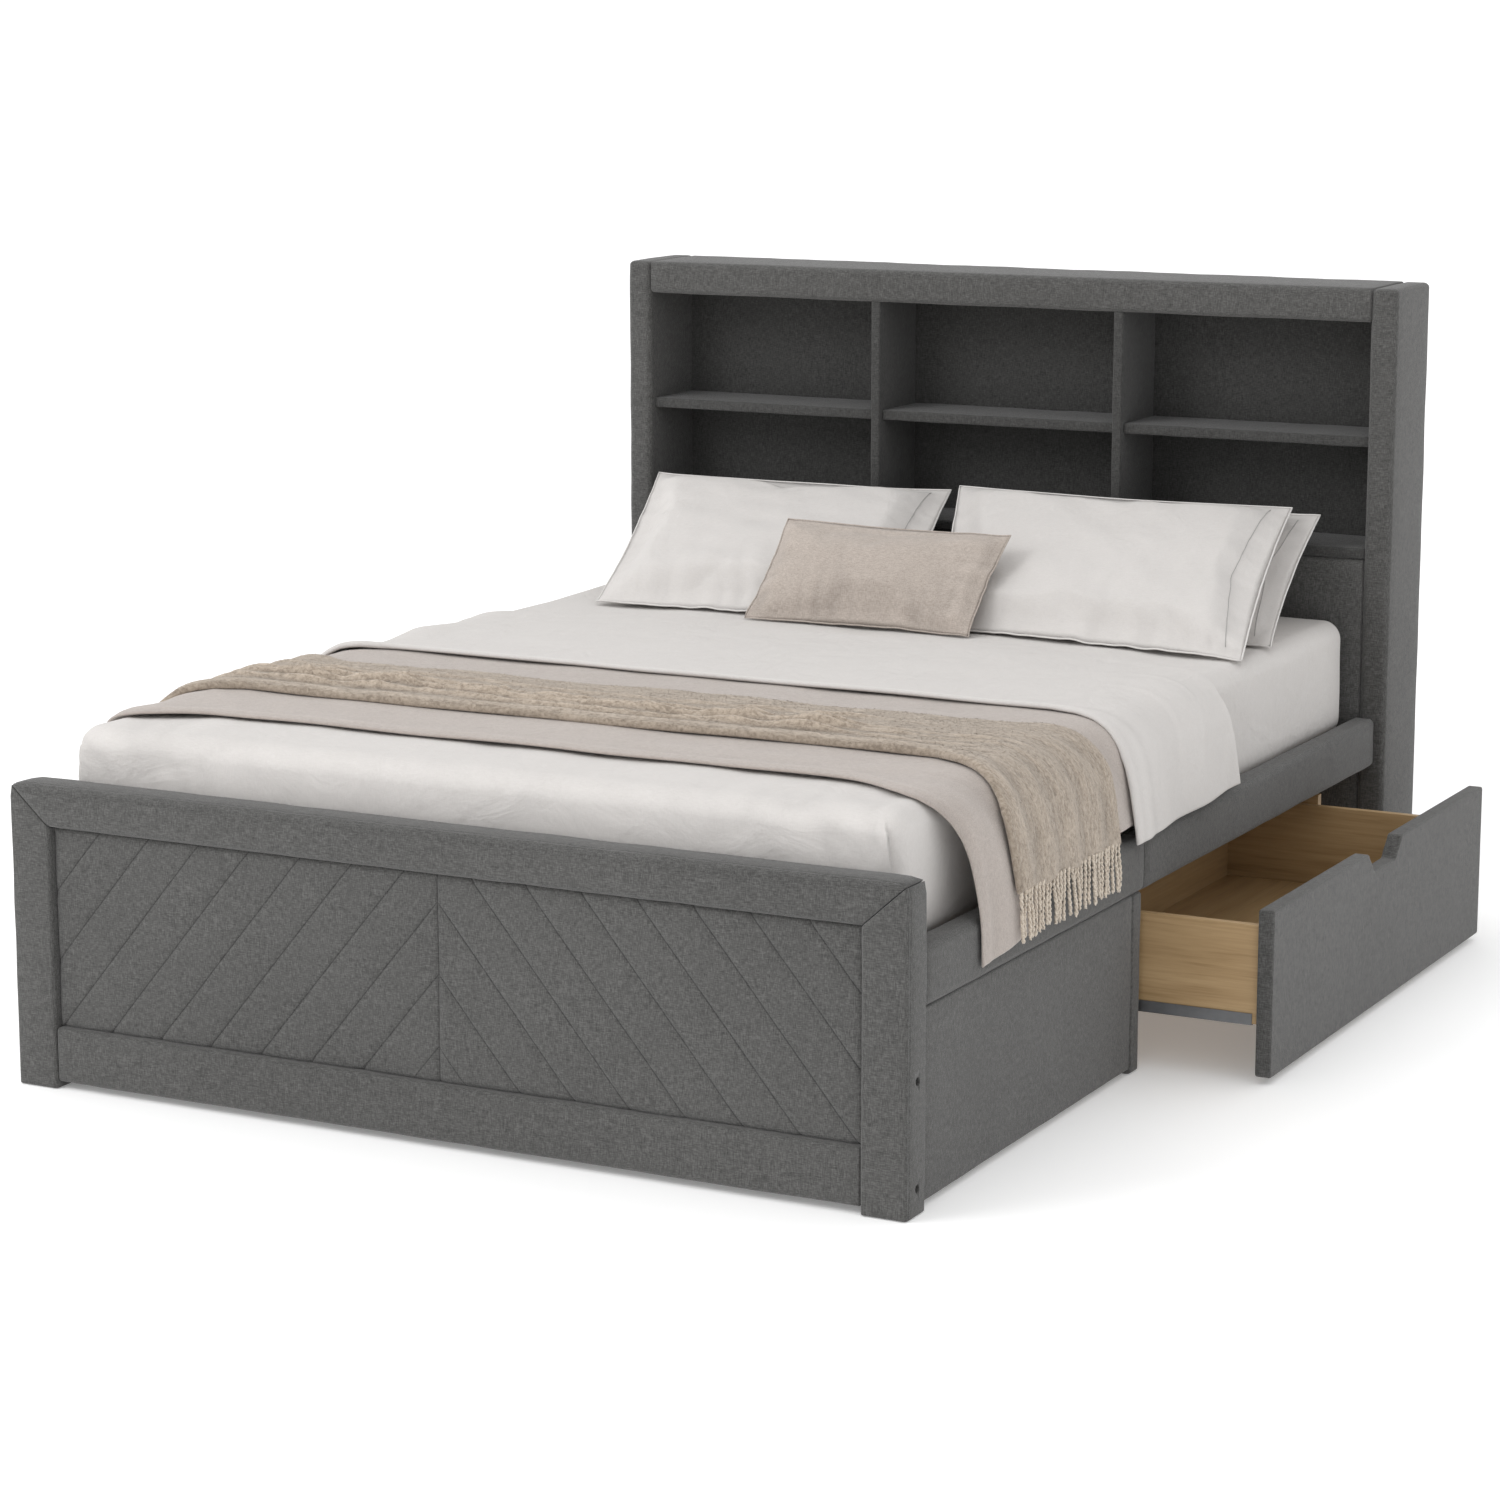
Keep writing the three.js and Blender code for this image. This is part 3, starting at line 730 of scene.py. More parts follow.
# ---------------------------------------------------------------- headboard
for side, label in SIDES:
    wrap(f"headboard_{label}_side", (0.011, 0.011, 0.009), 0.0018, 0.03, 41 + side)
wrap("headboard_top_rail", (0.003, 0.010, 0.009), 0.0018, 0.03, 45)
wrap("headboard_front_panel", (0.004, 0.013, 0.015), 0.0035, 0.03, 46)
# The compartments' pieces take the darker lining, which also carries painted shade of the recesses.
LINED_AND_SHADED = [("deck", (0.002, 0.004, 0.004), 0.0004, 0.05, 47),
         ("back_panel", (0.002, 0.002, 0.002), 0.0, 0.05, 48)]
LINED_AND_SHADED += [(f"{label}_divider", (0.004, 0.004, 0.002), 0.0003, 0.04, 50) for label in ("left", "right")]
LINED_AND_SHADED += [(f"{label}_shelf", (0.002, 0.004, 0.004), 0.0003, 0.04, 52)
          for label in ("left", "middle", "right")]
for part, *shape in LINED_AND_SHADED:
    wrap("headboard_" + part, *shape, slot="dark_grey_fabric", material=LINING_AND_SHADE)


# ---------------------------------------------------------------- drawers
def drawer_front(label, side):
    """The upholstered front with its finger notch, padded on the outside."""
    name = f"{label}_drawer_front"
    lo, hi = cad(name)
    x_out, x_in = (hi[0], lo[0]) if side > 0 else (lo[0], hi[0])
    mid = (lo[1] + hi[1]) / 2
    half, depth, slope = 0.086, 0.038, 0.036  # of the notch: half its width, its depth, run of an end
    r, lip, inner = 0.006, 0.010, 0.016
    # Rounded corners in turn: centre, radius, first and last angle, points.
    arcs = [(lo[1] + r, lo[2] + r, r, 180, 270, 6),
            (hi[1] - r, lo[2] + r, r, 270, 360, 6),
            (hi[1] - r, hi[2] - r, r, 0, 90, 6),
            (mid + half + lip, hi[2] - lip, lip, 90, 162, 6),
            (mid + half - slope, hi[2] - depth + inner, inner, 342, 270, 8),
            (mid - half + slope, hi[2] - depth + inner, inner, 270, 198, 8),
            (mid - half - lip, hi[2] - lip, lip, 18, 90, 6),
            (lo[1] + r, hi[2] - r, r, 90, 180, 6)]
    outline = [(y + radius * math.cos(a), z + radius * math.sin(a))
               for y, z, radius, first, last, count in arcs
               for a in np.linspace(math.radians(first), math.radians(last), count)]
    bm = bmesh.new()
    ring = [bm.verts.new((x_in, y, z)) for y, z in outline]
    face = bm.faces.new(ring)
    moved = bmesh.ops.extrude_face_region(bm, geom=[face])
    fresh = [g for g in moved["geom"] if isinstance(g, bmesh.types.BMVert)]
    bmesh.ops.translate(bm, verts=fresh, vec=(x_out - x_in, 0, 0))
    bmesh.ops.recalc_face_normals(bm, faces=bm.faces)
    rims = [e for e in bm.edges if abs(e.verts[0].co.x - e.verts[1].co.x) < 1e-6]
    bmesh.ops.bevel(bm, geom=rims, offset=0.0045, segments=4, profile=0.6, affect="EDGES")
    data = bpy.data.meshes.new(name + "_cover")
    bm.to_mesh(data)
    bm.free()
    data.materials.append(GREY)
    data.polygons.foreach_set("use_smooth", [len(p.vertices) < 8 for p in data.polygons])
    add_piece(name + "_cover", data, f"{label}_drawer", "grey_upholstery", [name])


def repaint(node_name, material):
    """Gives a CAD node that stays in view its own material."""
    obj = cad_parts[node_name]
    obj.data.materials.clear()
    obj.data.materials.append(material)


for side, label in SIDES:
    body = f"{label}_drawer"
    drawer_front(label, side)
    for part, along in (("foot_side", 0), ("head_side", 0), ("back", 1), ("base", 1)):
        board(f"{body}_{part}", along, body)
    # Screws stand on each runner's upright web: a cabinet runner's face the drawer, a drawer runner's
    # face the partition. web is how far the upright's face is from the runner's edge.
    for end, inward in (("foot", 1), ("head", -1)):
        for kind, rides, way, web, height in (("cabinet", "bed", inward, 0.0015, 0.098),
                                              ("drawer", body, -inward, 0.0169, 0.1085)):
            runner = f"{label}_{kind}_runner_{end}"
            repaint(runner, STEEL)
            lo, hi = cad(runner)
            y = (lo if way > 0 else hi)[1] + way * web
            heads = [screw((lo[0] + (hi[0] - lo[0]) * part, y, height), (0, way, 0))
                     for part in (0.08, 0.36, 0.64, 0.92)]
            make_object(runner + "_screws", *gather(heads), STEEL, "grey_steel", rides)

for name in ("foot_slats", "head_slats"):
    repaint(name, BIRCH[0])


# ---------------------------------------------------------------- mattress with its fitted sheet
def mattress():
    lo, hi = cad("mattress")
    hi = hi - (0, 0, 0.0015)
    r = np.array([0.038, 0.042, 0.038])
    steps = (0.016, 0.016, 0.012)
    lines = [grid_lines(lo[i], hi[i], r[i], steps[i], turn=14) for i in range(3)]
    # Finer rows over the foot end, where it is seen closest.
    ys = lines[1]
    at_foot = ys[:-1] < lo[1] + 0.3
    lines[1] = np.sort(np.concatenate([ys, (ys[:-1][at_foot] + ys[1:][at_foot]) / 2]))
    p, faces = box_shell(*lines)
    core, out, normal = round_box(p, lo, hi, r)
    x, y, z = out.T
    upper = climb(z - 0.46, 0.1)
    foot = np.exp(-np.maximum(y - lo[1], 0) / 0.10)
    lift = waves(out, 61, 0.35) * 0.0016 + waves(out, 62, 0.12) * 0.0006
    # Small creases where the sheet is drawn over the foot end, most near its corners.
    corner = bell(np.abs(x) - 0.64, 0.16)
    slant = out * (1.0, 0.35, 0.55) + np.stack([z * 0.6, 0 * x, 0 * x], 1)
    wrinkled = foot * upper * (0.2 + corner) * ridges(slant * (1, 0.5, 1), 63, 0.06)
    lift += wrinkled * 0.0016
    lift += foot * 0.0015 * np.sin(climb(z - 0.40, 0.2) * math.pi)
    # The tucked corner folds: the sheet steps in along a near-upright line round each foot corner.
    turned = np.arctan2(np.abs(normal[:, 0]), np.maximum(-normal[:, 1], 1e-6))
    along = np.abs(core[:, 0]) - (hi[0] - r[0]) + r[0] * turned + np.maximum(core[:, 1] - lo[1] - r[1], 0)
    beyond = along - 0.022 - (0.560 - z) * 0.12
    fade = climb(0.588 - z, 0.02) * np.clip(1 - np.abs(normal[:, 2]) * 1.2, 0, 1) * (y < lo[1] + 0.2)
    lift += fade * np.where(beyond < 0, 0.0065 * np.exp(beyond / 0.020), -0.0040 * np.exp(-beyond / 0.014))
    # Sides: long loose undulations below the top edge.
    flank = np.clip(np.abs(normal[:, 0]) * 1.5 - 0.5, 0, 1)
    lift += flank * waves(out * (1, 1, 0.45), 64, 0.16) * 0.0018
    out = out + normal * lift[:, None]
    out[:, 2] = np.minimum(out[:, 2], MATTRESS_TOP)
    obj = make_object("mattress_fitted_sheet", out, faces, COTTON, "white_cotton", stands_for=["mattress"])
    # The sheet's creases are also painted into its colour: painted shade in their valleys, painted
    # highlight on their crests.
    set_painted_fold_shade(obj, np.clip(wrinkled, -1, 1))


mattress()


# ---------------------------------------------------------------- cloths that lie across the bed
def distances(points):
    """How far along a line each of its points is."""
    return np.concatenate([[0], np.cumsum(np.linalg.norm(np.diff(points, axis=0), axis=1))])


def side_path(top=0.6022):
    """The line a cloth takes from the middle of the bed over the mattress edge and the rail."""
    knots = np.array([(0, top), (0.35, top), (0.66, top), (0.705, top - 0.001), (0.738, top - 0.0065),
                      (0.763, top - 0.019), (0.782, top - 0.040), (0.795, top - 0.068),
                      (0.804, top - 0.105), (0.8115, 0.452), (0.8165, 0.418), (0.8190, 0.39),
                      (0.8195, 0.36), (0.8200, 0.30), (0.8205, 0.24)])
    t = distances(knots)
    fine = np.linspace(0, t[-1], 1200)
    xz = np.stack([np.interp(fine, t, knots[:, i]) for i in range(2)], 1)
    # Smoothed with a window of 41 points; 20 mirrored points carry each end on.
    kernel = np.hanning(41)
    kernel /= kernel.sum()
    before = [2 * xz[0, 0] - xz[20:0:-1, 0], xz[20:0:-1, 1]]
    for i in range(2):
        line = np.concatenate([before[i], xz[:, i], 2 * xz[-1, i] - xz[-2:-22:-1, i]])
        xz[:, i] = np.convolve(line, kernel, "valid")
    xz[0, 0] = 0
    return distances(xz), xz


PATH_S, PATH_XZ = side_path()
PATH_T = np.gradient(PATH_XZ, PATH_S, axis=0)
EDGE_S = float(np.interp(0.74, PATH_XZ[:, 0][:700], PATH_S[:700]))


def on_path(s, y, out):
    """Points at signed distance s across the bed, at y along it, and out from the path."""
    side = np.where(s < 0, -1.0, 1.0)
    x, z, tx, tz = (np.interp(np.abs(s), PATH_S, line[:, i]) for line in (PATH_XZ, PATH_T) for i in (0, 1))
    size = np.sqrt(tx ** 2 + tz ** 2)
    nx, nz = -tz / size, tx / size
    return np.stack([side * (x + nx * out), y, z + nz * out], -1)


def reach_to(z):
    """How far along the path a hem at this height is."""
    return np.interp(-z, -PATH_XZ[400:, 1], PATH_S[400:])


def cloth_shell(name, s_left, s_right, y_of, low, high, material, slot, stands_for, columns=360, rows=110,
                hem=0.006, painted_fold_shade=(5, 0.002)):
    """A closed cloth. For S across the bed, Y along it and V from 0 at the cloth's foot hem to 1 at its
    head hem: s_left(V) and s_right(V) are its ends, y_of(S, V) is Y, and low(S, Y) and high(S, Y, V)
    are the heights of its under and upper side over the path."""
    def crowd(count, margin):
        ends = margin * np.array([0.0, 0.12, 0.35, 0.65])
        return np.concatenate([ends, np.linspace(margin, 1 - margin, count), 1 - ends[::-1]])

    length, width = 2.2, 0.5
    V, U = np.meshgrid(crowd(rows, hem / width), crowd(columns, hem / length), indexing="ij")
    sl, sr = s_left(V), s_right(V)
    S = -sl + (sl + sr) * U
    Y = y_of(S, V)
    bottom, top = low(S, Y), high(S, Y, V)
    e = np.minimum(np.minimum(U, 1 - U) * length, np.minimum(V, 1 - V) * width)
    round_off = np.sqrt(np.clip(1 - (1 - climb(e, hem)) ** 2, 0, 1))
    mid = (bottom + top) / 2
    half = (top - bottom) / 2 * round_off
    upper = on_path(S, Y, mid + half)
    lower = on_path(S, Y, mid - half)
    _, inner, faces = two_layers(*U.shape)
    verts = np.concatenate([upper.reshape(-1, 3), lower[inner]])
    obj = make_object(name, verts, faces, material, slot, stands_for=[stands_for])
    # Painted shade and painted highlight: how far the upper side rises above or sinks below its
    # surroundings, for the material to darken hollows and lighten crests.
    set_painted_fold_shade(obj, stands_out(top, *painted_fold_shade).ravel())
    return obj, upper


def field(S, Y, seed, wavelength, squeeze=(1, 1, 1)):
    """Smooth noise over a flat cloth."""
    points = np.stack([S.ravel(), Y.ravel(), 0 * S.ravel()], 1)
    return waves(points * squeeze, seed, wavelength).reshape(S.shape)


def line_field(S, seed, wavelength):
    """Smooth noise that changes only across the bed."""
    return field(S, 0 * S, seed, wavelength)


def creases(S, Y, seed, wavelength, squeeze=(1, 1, 1)):
    """Thin crooked ridges, 0 to 1."""
    return np.maximum(1 - 3.0 * np.abs(field(S, Y, seed, wavelength, squeeze)), 0)


def past_edge(S):
    """How far down the side of the bed, from the mattress's edge; negative on top."""
    return np.abs(S) - EDGE_S


def hang(S):
    """0 on the bed, rising to 1 well down the side."""
    return climb(past_edge(S), 0.16)


def make_blanket():
    y0, y1 = FOOT + 0.262, FOOT + 0.935

    def hem(V):
        front = 0.334 + 0.016 * climb(V, 0.25)
        return reach_to(np.where(V < 0.27, front, 0.35 + 0.085 * climb(V - 0.27, 0.12) ** 1.5))

    def y_of(S, V):
        front = y0 - 0.062 * bell(past_edge(S) - 0.070, 0.090) - 0.010 * hang(S)
        front = front + 0.004 * line_field(S, 71, 0.3)
        return front + (y1 - front) * V

    def low(S, Y):
        folds = (0.5 + 0.5 * np.sin(Y * 41 + 2 * line_field(S, 72, 0.5))) * 0.005 * hang(S)
        soft = field(S, Y, 73, 0.22, (1, 0.7, 1)) * 0.0009 + 0.001
        return 0.0005 + np.maximum(soft, 0) + folds

    def high(S, Y, V):
        hem_roll = 0.0015 * bell(V - 0.035, 0.012)
        crease = np.maximum(field(S, Y, 74, 0.09, (0.35, 1, 1)), 0) * 0.0007
        bend = bell(past_edge(S) - 0.06, 0.14)
        crease = crease + creases(S, Y, 75, 0.20, (0.5, 1, 1)) * (0.0004 + 0.0010 * bend)
        return low(S, Y) + BLANKET_THICK + hem_roll + crease

    obj, _ = cloth_shell("blanket_cloth", hem, hem, y_of, low, high, TAUPE, "taupe_blanket", "blanket")


def make_top_sheet():
    y0, y1 = FOOT + 0.902, FOOT + 1.470

    def hem_left(V):
        return reach_to(0.408 + 0.010 * V)

    def hem_right(V):
        return reach_to(0.405 + 0.012 * V)

    def y_of(S, V):
        front = y0 - 0.042 * hang(S) + 0.003 * line_field(S, 81, 0.35)
        back = y1 - 0.10 * climb(past_edge(S) + 0.12, 0.25) ** 1.4
        return front + (back - front) * V

    def low(S, Y):
        over = climb(FOOT + 0.955 - Y, 0.05)
        over = over * over * (3 - 2 * over)
        folds = (0.5 + 0.5 * np.sin(Y * 26 + 1.0 + 2.5 * line_field(S, 82, 0.6))) * 0.012
        billow = hang(S) * folds * (1 - 0.35 * climb(past_edge(S), 0.2))
        soft = np.maximum(field(S, Y, 83, 0.3, (0.8, 1, 1)) * 0.0016, 0)
        return 0.001 + over * (BLANKET_THICK + 0.0035) + billow + soft

    def high(S, Y, V):
        roll = 0.0022 * bell(V - 0.02, 0.022)
        thick = 0.0072 - 0.0032 * climb(V - 0.6, 0.4)
        crease = np.maximum(field(S, Y, 84, 0.10, (0.5, 1, 1)) * 0.0006, -0.0005)
        bend = bell(past_edge(S) - 0.07, 0.13)
        crease = crease + creases(S, Y + 0.5 * np.abs(S), 85, 0.22, (0.5, 1, 1)) * (0.0003 + 0.0013 * bend)
        return low(S, Y) + thick + roll + crease

    obj, _ = cloth_shell("top_sheet_cloth", hem_left, hem_right, y_of, low, high, COTTON, "white_cotton",
                         "top_sheet")


def throw_front(S):
    return FOOT + 0.445 - 0.070 * hang(S) + 0.006 * line_field(S, 91, 0.4)


def throw_back(S):
    return FOOT + 0.748 + 0.030 * hang(S) + 0.006 * line_field(S, 92, 0.3)


def make_throw():
    def hem(V):
        return reach_to(THROW_HEM + 0.004 * np.sin(V * 19))

    def y_of(S, V):
        front, back = throw_front(S), throw_back(S)
        return front + (back - front) * V

    def low(S, Y):
        return 0.0025 + BLANKET_THICK + 0.002 * (1 + field(S, Y, 73, 0.22)) * 0.5 + 0.006 * hang(S)

    def high(S, Y, V):
        side = hang(S)
        # Rumples run along the throw, lower towards the right side of the bed.
        at = V - 0.05 * line_field(S, 93, 0.55)
        calm = 1 - 0.75 * climb(S - 0.25, 0.3)
        rumples = ((0.26, 0.022, 0.011), (0.38, 0.020, 0.016), (0.48, 0.022, 0.013), (0.72, 0.025, 0.006))
        top = sum(height * bell(at - middle, width) for middle, width, height in rumples)
        top = top * (0.65 + 0.5 * line_field(S, 94, 0.25) ** 2) * calm
        tangled = np.maximum(1 - 1.6 * np.abs(field(S, Y, 98, 0.06, (0.4, 1, 1))), 0)
        top = top + bell(at - 0.40, 0.16) * calm * tangled * 0.006
        front_roll = 0.010 * bell(V - 0.06, 0.07)
        pleats = (0.5 + 0.5 * np.sin(V * 27 + 1.2 * line_field(S, 95, 0.4))) * 0.0055 * side
        rough = field(S, Y, 96, 0.035, (0.3, 1, 1)) * 0.0007 + field(S, Y, 97, 0.014, (0.4, 1, 1)) * 0.0003
        rise = (1 - side) * (top + front_roll) + side * front_roll * 0.4 + pleats + rough
        return low(S, Y) + 0.007 + rise

    return cloth_shell("throw_cloth", hem, hem, y_of, low, high, FLEECE, "tan_throw", "throw",
                       columns=420, hem=0.007, painted_fold_shade=(6, 0.0045))


def make_pile(upper):
    """Short leaning tufts over the throw."""
    rng = np.random.default_rng(5)
    nv, nu, _ = upper.shape
    count = 20000
    rows_at = rng.uniform(2, nv - 3, count)
    cols_at = rng.uniform(2, nu - 3, count)
    j, i = rows_at.astype(int), cols_at.astype(int)
    fj, fi = (rows_at - j)[:, None], (cols_at - i)[:, None]
    p = ((1 - fj) * (1 - fi) * upper[j, i] + (1 - fj) * fi * upper[j, i + 1]
         + fj * (1 - fi) * upper[j + 1, i] + fj * fi * upper[j + 1, i + 1])
    du, dv = upper[j, i + 1] - upper[j, i], upper[j + 1, i] - upper[j, i]
    n, du, dv = unit(np.cross(du, dv)), unit(du), unit(dv)
    away = np.where(p[:, :1] < 0, -1.0, 1.0)
    lean = du * away * rng.normal(0.9, 0.5, (count, 1)) + dv * rng.normal(-0.1, 0.35, (count, 1))
    length = rng.uniform(0.0025, 0.0050, (count, 1))
    width = rng.uniform(0.0003, 0.0006, (count, 1))
    side = unit(np.cross(n, lean + 1e-4))
    mid = p + (n * 0.28 + lean * 0.4) * length
    tip = p + (n * 0.26 + lean * 0.95) * length
    root = p - n * 0.0008
    v = np.stack([root - side * width, root + side * width, mid + side * width * 0.9,
                  mid - side * width * 0.9, tip], 1).reshape(-1, 3)
    base = np.arange(count) * 5
    blades = np.stack([base, base + 1, base + 2, base + 3], 1)
    tips = np.stack([base + 3, base + 2, base + 4], 1)
    return make_object("throw_pile", v, [*blades, *tips], FLEECE, "tan_throw")


def make_fringe(side):
    """Twisted tassels along one end of the throw."""
    rng = np.random.default_rng(11 + side)
    count, steps = 29, 22
    clear_of_rail, twist = 0.8375, 0.0016
    end = np.array([side * float(reach_to(THROW_HEM))])
    y_start, y_end = float(throw_front(end)[0]) + 0.006, float(throw_back(end)[0]) - 0.006
    t = np.linspace(0, 1, steps)
    parts = []
    for i in range(count):
        y = y_start + (y_end - y_start) * i / (count - 1) + rng.normal(0, 0.0012)
        out = 0.0200 + 0.0025 * math.sin(i * 1.35)
        length = 0.082 + rng.normal(0, 0.003)
        sway, drift = rng.normal(0, 0.0045), rng.normal(0, 0.003)
        top = on_path(end, np.array([y]), np.array([out]))[0]
        x = side * top[0] + drift * np.sin(t * 2.4) + 0.004 * t
        spine = np.stack([side * np.maximum(x, clear_of_rail),
                          top[1] + sway * t * t + 0.0015 * np.sin(t * 7 + i),
                          top[2] + 0.006 - length * t], 1)
        for strand in (0, math.pi):
            turns = np.linspace(0, 2 * math.pi * 4.2, steps) + strand + i
            pts = spine + np.stack([np.cos(turns) * twist, np.sin(turns) * twist, 0 * turns], 1)
            thick = 0.0022 * np.ones(steps)
            thick[-1] = 0.0010
            parts.append(tube(pts, thick, 6))
        knot = spine[1] + np.outer(np.linspace(0.004, -0.004, 4), UP)
        parts.append(tube(knot, np.array([0.0022, 0.0036, 0.0036, 0.0022]), 8))
    label = "right" if side > 0 else "left"
    return make_object("throw_fringe_" + label, *gather(parts), TASSEL, "tan_throw")


make_blanket()
make_top_sheet()
throw, throw_top = make_throw()
pile = make_pile(throw_top)
fringes = [make_fringe(-1), make_fringe(1)]


# ---------------------------------------------------------------- pillows and the lumbar cushion
def blow_up(verts, faces, pressure, frames):
    """Inflates a flat two-sided bag with cloth simulation and returns its points."""
    data = new_mesh("bag", verts, faces)
    bag = link("bag", data)
    mod = bag.modifiers.new("Cloth", "CLOTH")
    s = mod.settings
    s.quality = 6
    s.mass = 0.25
    s.tension_stiffness = s.compression_stiffness = 18
    s.shear_stiffness = 8
    s.bending_stiffness = 0.25
    s.tension_damping = s.compression_damping = s.shear_damping = 8
    s.air_damping = 4
    s.use_pressure = True
    s.uniform_pressure_force = pressure
    s.effector_weights.gravity = 0
    mod.point_cache.frame_start = 1
    mod.point_cache.frame_end = frames
    scene = bpy.context.scene
    for f in range(1, frames + 1):
        scene.frame_set(f)
    graph = bpy.context.evaluated_depsgraph_get()
    result = bag.evaluated_get(graph).to_mesh()
    co = np.zeros(len(result.vertices) * 3, np.float32)
    result.vertices.foreach_get("co", co)
    scene.frame_set(1)
    bpy.data.objects.remove(bag)
    bpy.data.meshes.remove(data)
    return co.reshape(-1, 3).astype(float)


def press_flat(values, limit, side):
    """Lets almost nothing past a level or an upright plane: side is 1 for above it, -1 for below."""
    past = (values - limit) * side < 0
    return np.where(past, limit + (values - limit) * 0.03, values)


def make_cushion(node_name, foot, head, top, above, below, seed, material=PERCALE, slot="white_cotton",
                 spacing=0.011, piping=0.0017, gathers=0.0022):
    """A stuffed cover. Its seam joins four corners seen from above in mm from the footboard (foot and
    head edge, each from left to right) and climbs to a height of top mm."""
    name = node_name + "_cover"
    corners = np.array([foot, head], float) / 1000 + (0, FOOT)
    low, high, rest = 0.6035, top / 1000, 0.6012
    width = float(np.mean(corners[:, 1, 0] - corners[:, 0, 0]))
    run = float(np.mean(corners[1, :, 1] - corners[0, :, 1]))
    tilt = math.atan2(high - low, run)
    depth = math.hypot(run, high - low)
    nu, nv = int(width / spacing) | 1, int(depth / spacing) | 1
    V, U = np.meshgrid(np.linspace(-1, 1, nv), np.linspace(-1, 1, nu), indexing="ij")
    # The sides pull in between the corners, which stand out a little.
    X = U * width / 2 * (1 - 0.026 * (1 - V ** 2) * np.abs(U) ** 3)
    Y = V * depth / 2 * (1 - 0.036 * (1 - U ** 2) * np.abs(V) ** 3)
    lens = np.clip(1 - U ** 2, 0, 1) ** 0.62 * np.clip(1 - V ** 2, 0, 1) ** 0.62
    start = 0.45
    crumple = field(X, Y, seed, 0.09) * 0.0025 * lens
    upper = np.stack([X, Y, lens * above * start + crumple], -1)
    lower = np.stack([X, Y, -lens * below * start + crumple], -1)
    ids, inner, faces = two_layers(nv, nu)
    verts = np.concatenate([upper.reshape(-1, 3), lower[inner]])
    body = np.concatenate([lens.ravel(), lens[inner]])
    points = blow_up(verts, faces, pressure=5.0, frames=22)
    move = points - verts
    # The seam stays a clean line; the faces keep what the simulation gave them.
    move *= np.clip(body * 4, 0, 1)[:, None] * (0.35, 0.35, 1)
    far = np.linalg.norm(move, axis=1, keepdims=True)
    points = verts + move * np.minimum(1, 0.055 / np.maximum(far, 1e-9))
    # Brought back to the room that the piece has above and below its seam.
    points[:, 0] *= width / (points[:, 0].max() - points[:, 0].min())
    points[:, 1] *= depth / (points[:, 1].max() - points[:, 1].min())
    z = points[:, 2]
    z = np.where(z > 0, z * above / max(z.max(), 1e-6), z * below / max(-z.min(), 1e-6))
    local_u, local_v = points[:, 0] * 2 / width, points[:, 1] * 2 / depth
    from_foot = (1 + local_v) * depth / 2
    from_side = (1 - np.abs(local_u)) * width / 2
    # Gathers that run in from the foot seam and the side seams, and slow swells over the whole face.
    flat = np.stack([points[:, 0], points[:, 1], 0 * z], 1)
    pleats = ridges(flat * (1, 0.22, 1), seed + 5, 0.055)
    pleats += 0.5 * waves(flat * (1, 0.3, 1), seed + 6, 0.11)
    folds = ridges(flat * (0.25, 1, 1), seed + 7, 0.05)
    reach = 0.05 * (1.3 + 0.8 * waves(flat * (1, 0, 1), seed + 8, 0.2))
    near_foot = np.exp(-from_foot / np.maximum(reach, 0.015)) * (1 - np.exp(-from_foot / 0.010))
    near_side = np.exp(-from_side / 0.05) * (1 - np.exp(-from_side / 0.010))
    gathered = pleats * near_foot + 0.7 * folds * near_side
    lift = gathers * gathered * 1.6
    lift += waves(flat, seed + 9, 0.22) * np.clip(body * 1.3, 0, 1) * 0.0012
    z = z + np.where(z >= 0, lift, 0.4 * lift) + waves(flat, seed + 10, 0.3) * 0.0012
    # Laid between the corners, flat where it rests on the mattress or against the headboard.
    normal = np.array([0, -math.sin(tilt), math.cos(tilt)])
    a, b = ((local_u + 1) / 2)[:, None], ((local_v + 1) / 2)[:, None]
    plan = ((1 - b) * ((1 - a) * corners[0, 0] + a * corners[0, 1])
            + b * ((1 - a) * corners[1, 0] + a * corners[1, 1]))
    world = np.concatenate([plan, low + (high - low) * b], 1) + z[:, None] * normal
    world[:, 2] = press_flat(world[:, 2], rest, 1)
    world[:, 1] = press_flat(world[:, 1], HEAD_FRONT - 0.001, -1)
    obj = make_object(name, world, faces, material, slot, stands_for=[node_name])
    rim = rim_of(ids)
    on_rim = set(rim)
    # The gathers are also painted into the colour: painted shade in their valleys, painted highlight on
    # their crests.
    set_painted_fold_shade(obj, np.clip(gathered, -1, 1))
    crease = obj.data.attributes.new("crease_edge", "FLOAT", "EDGE")
    for edge in obj.data.edges:
        crease.data[edge.index].value = float(on_rim.issuperset(edge.vertices))
    apply_modifier(obj, "SUBSURF", levels=1, render_levels=1)
    shaped = np.array([obj.data.vertices[i].co for i in range(len(world))])
    # Pillows get the lighter piping colour, a painted highlight; the lumbar's piping is its own linen.
    trim = PIPING_AND_HIGHLIGHT if material is PERCALE else material
    make_object(name + "_piping", *tube(shaped[rim], piping, 8, close=True), trim, slot)
    if material is PERCALE:
        # The stitch line of the pillowcase's hem runs along its right end: a thin tube, darker than the
        # cotton, as painted shade of the hem.
        hem = shaped[ids[2:-2, -4]] + normal * 0.0004
        make_object(name + "_hem_stitch_shade", *tube(hem, 0.0008, 6), HEM_STITCH_SHADE, slot)


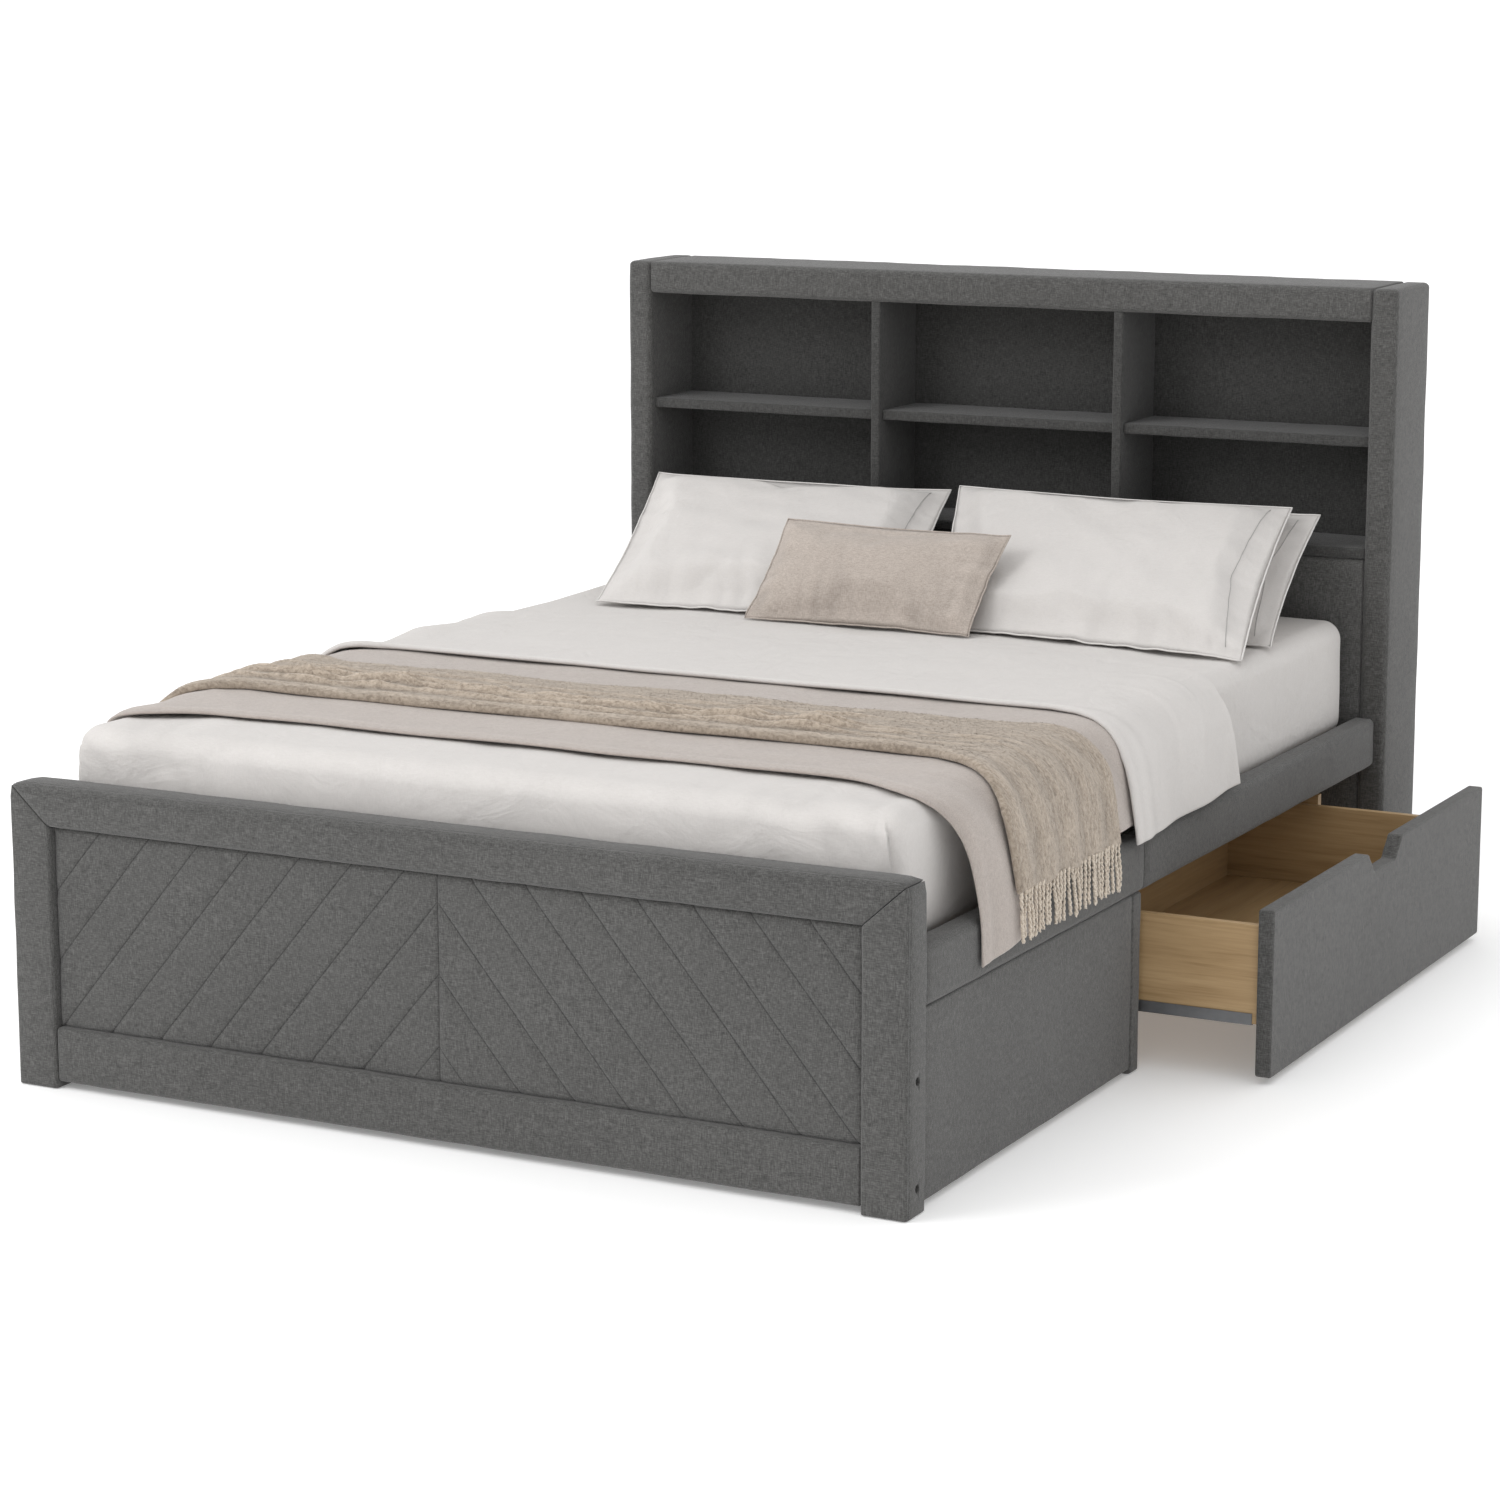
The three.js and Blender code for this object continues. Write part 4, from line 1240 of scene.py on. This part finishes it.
make_cushion("rear_pillow", [(70, 1735), (747, 1721)], [(20, 2112), (698, 2117)], 798, 0.020, 0.085, 7)
make_cushion("left_pillow", [(-620, 1612), (40, 1625)], [(-738, 2085), (-76, 2100)], 802, 0.058, 0.090, 3)
make_cushion("right_pillow", [(85, 1633), (751, 1558)], [(-40, 2063), (660, 2062)], 816, 0.060, 0.026, 4)
make_cushion("lumbar_cushion", [(-272, 1576), (205, 1568)], [(-258, 1735), (219, 1727)], 776, 0.050,
             0.016, 6, LINEN, "beige_linen", spacing=0.008, piping=0.0015, gathers=0.0045)

# ---------------------------------------------------------------- floor, light and camera
floor = new_mesh("studio_floor", [(-45, -45, 0), (45, -45, 0), (45, 45, 0), (-45, 45, 0)], [(0, 1, 2, 3)])
paper, _, shader = new_material("studio_paper")
feed(shader, Base_Color=(0.97, 0.97, 0.97, 1), Roughness=0.9, Emission_Color=(1, 1, 1, 1),
     Emission_Strength=0.18)
floor.materials.append(paper)
floor_object = link("studio_floor", floor)
floor_object.location.z = -0.0006

world = bpy.data.worlds.new("studio")
bpy.context.scene.world = world
world.use_nodes = True
room = world.node_tree
# The room is a little dimmer on the side of the open drawer.
directions = axes(room, node(room, "ShaderNodeTexCoord").outputs["Generated"])
rightward = maths(room, "MAXIMUM", directions[0], 0.0)
strength = maths(room, "SUBTRACT", 1.12, maths(room, "MULTIPLY", rightward, 0.28))
feed(room.nodes["Background"], Color=(1.0, 1.0, 1.0, 1), Strength=strength)


def aim(obj, place, direction):
    obj.location = place
    obj.rotation_euler = direction.to_track_quat("-Z", "Y").to_euler()


light = bpy.data.lights.new("key_light", "AREA")
light.shape = "RECTANGLE"
light.size, light.size_y = 3.0, 2.5
light.energy = 120
light_place, lit_point = Vector((-3.2, -5.0, 4.6)), Vector((0.0, 0.2, 0.5))
aim(link("key_light", light), light_place, lit_point - light_place)

camera = bpy.data.cameras.new("photo_camera")
camera.sensor_width = 36
camera.lens = 94.7
camera.clip_end = 60
view = link("photo_camera", camera)
azimuth, pitch = math.radians(27.4418), math.radians(11.1508)
aim(view, (3.2033, -5.0938 + FOOT, 1.825),
    Vector((-math.sin(azimuth) * math.cos(pitch), math.cos(azimuth) * math.cos(pitch), -math.sin(pitch))))
bpy.context.scene.camera = view
bpy.context.scene.view_settings.view_transform = "Standard"


bpy.context.view_layer.update()
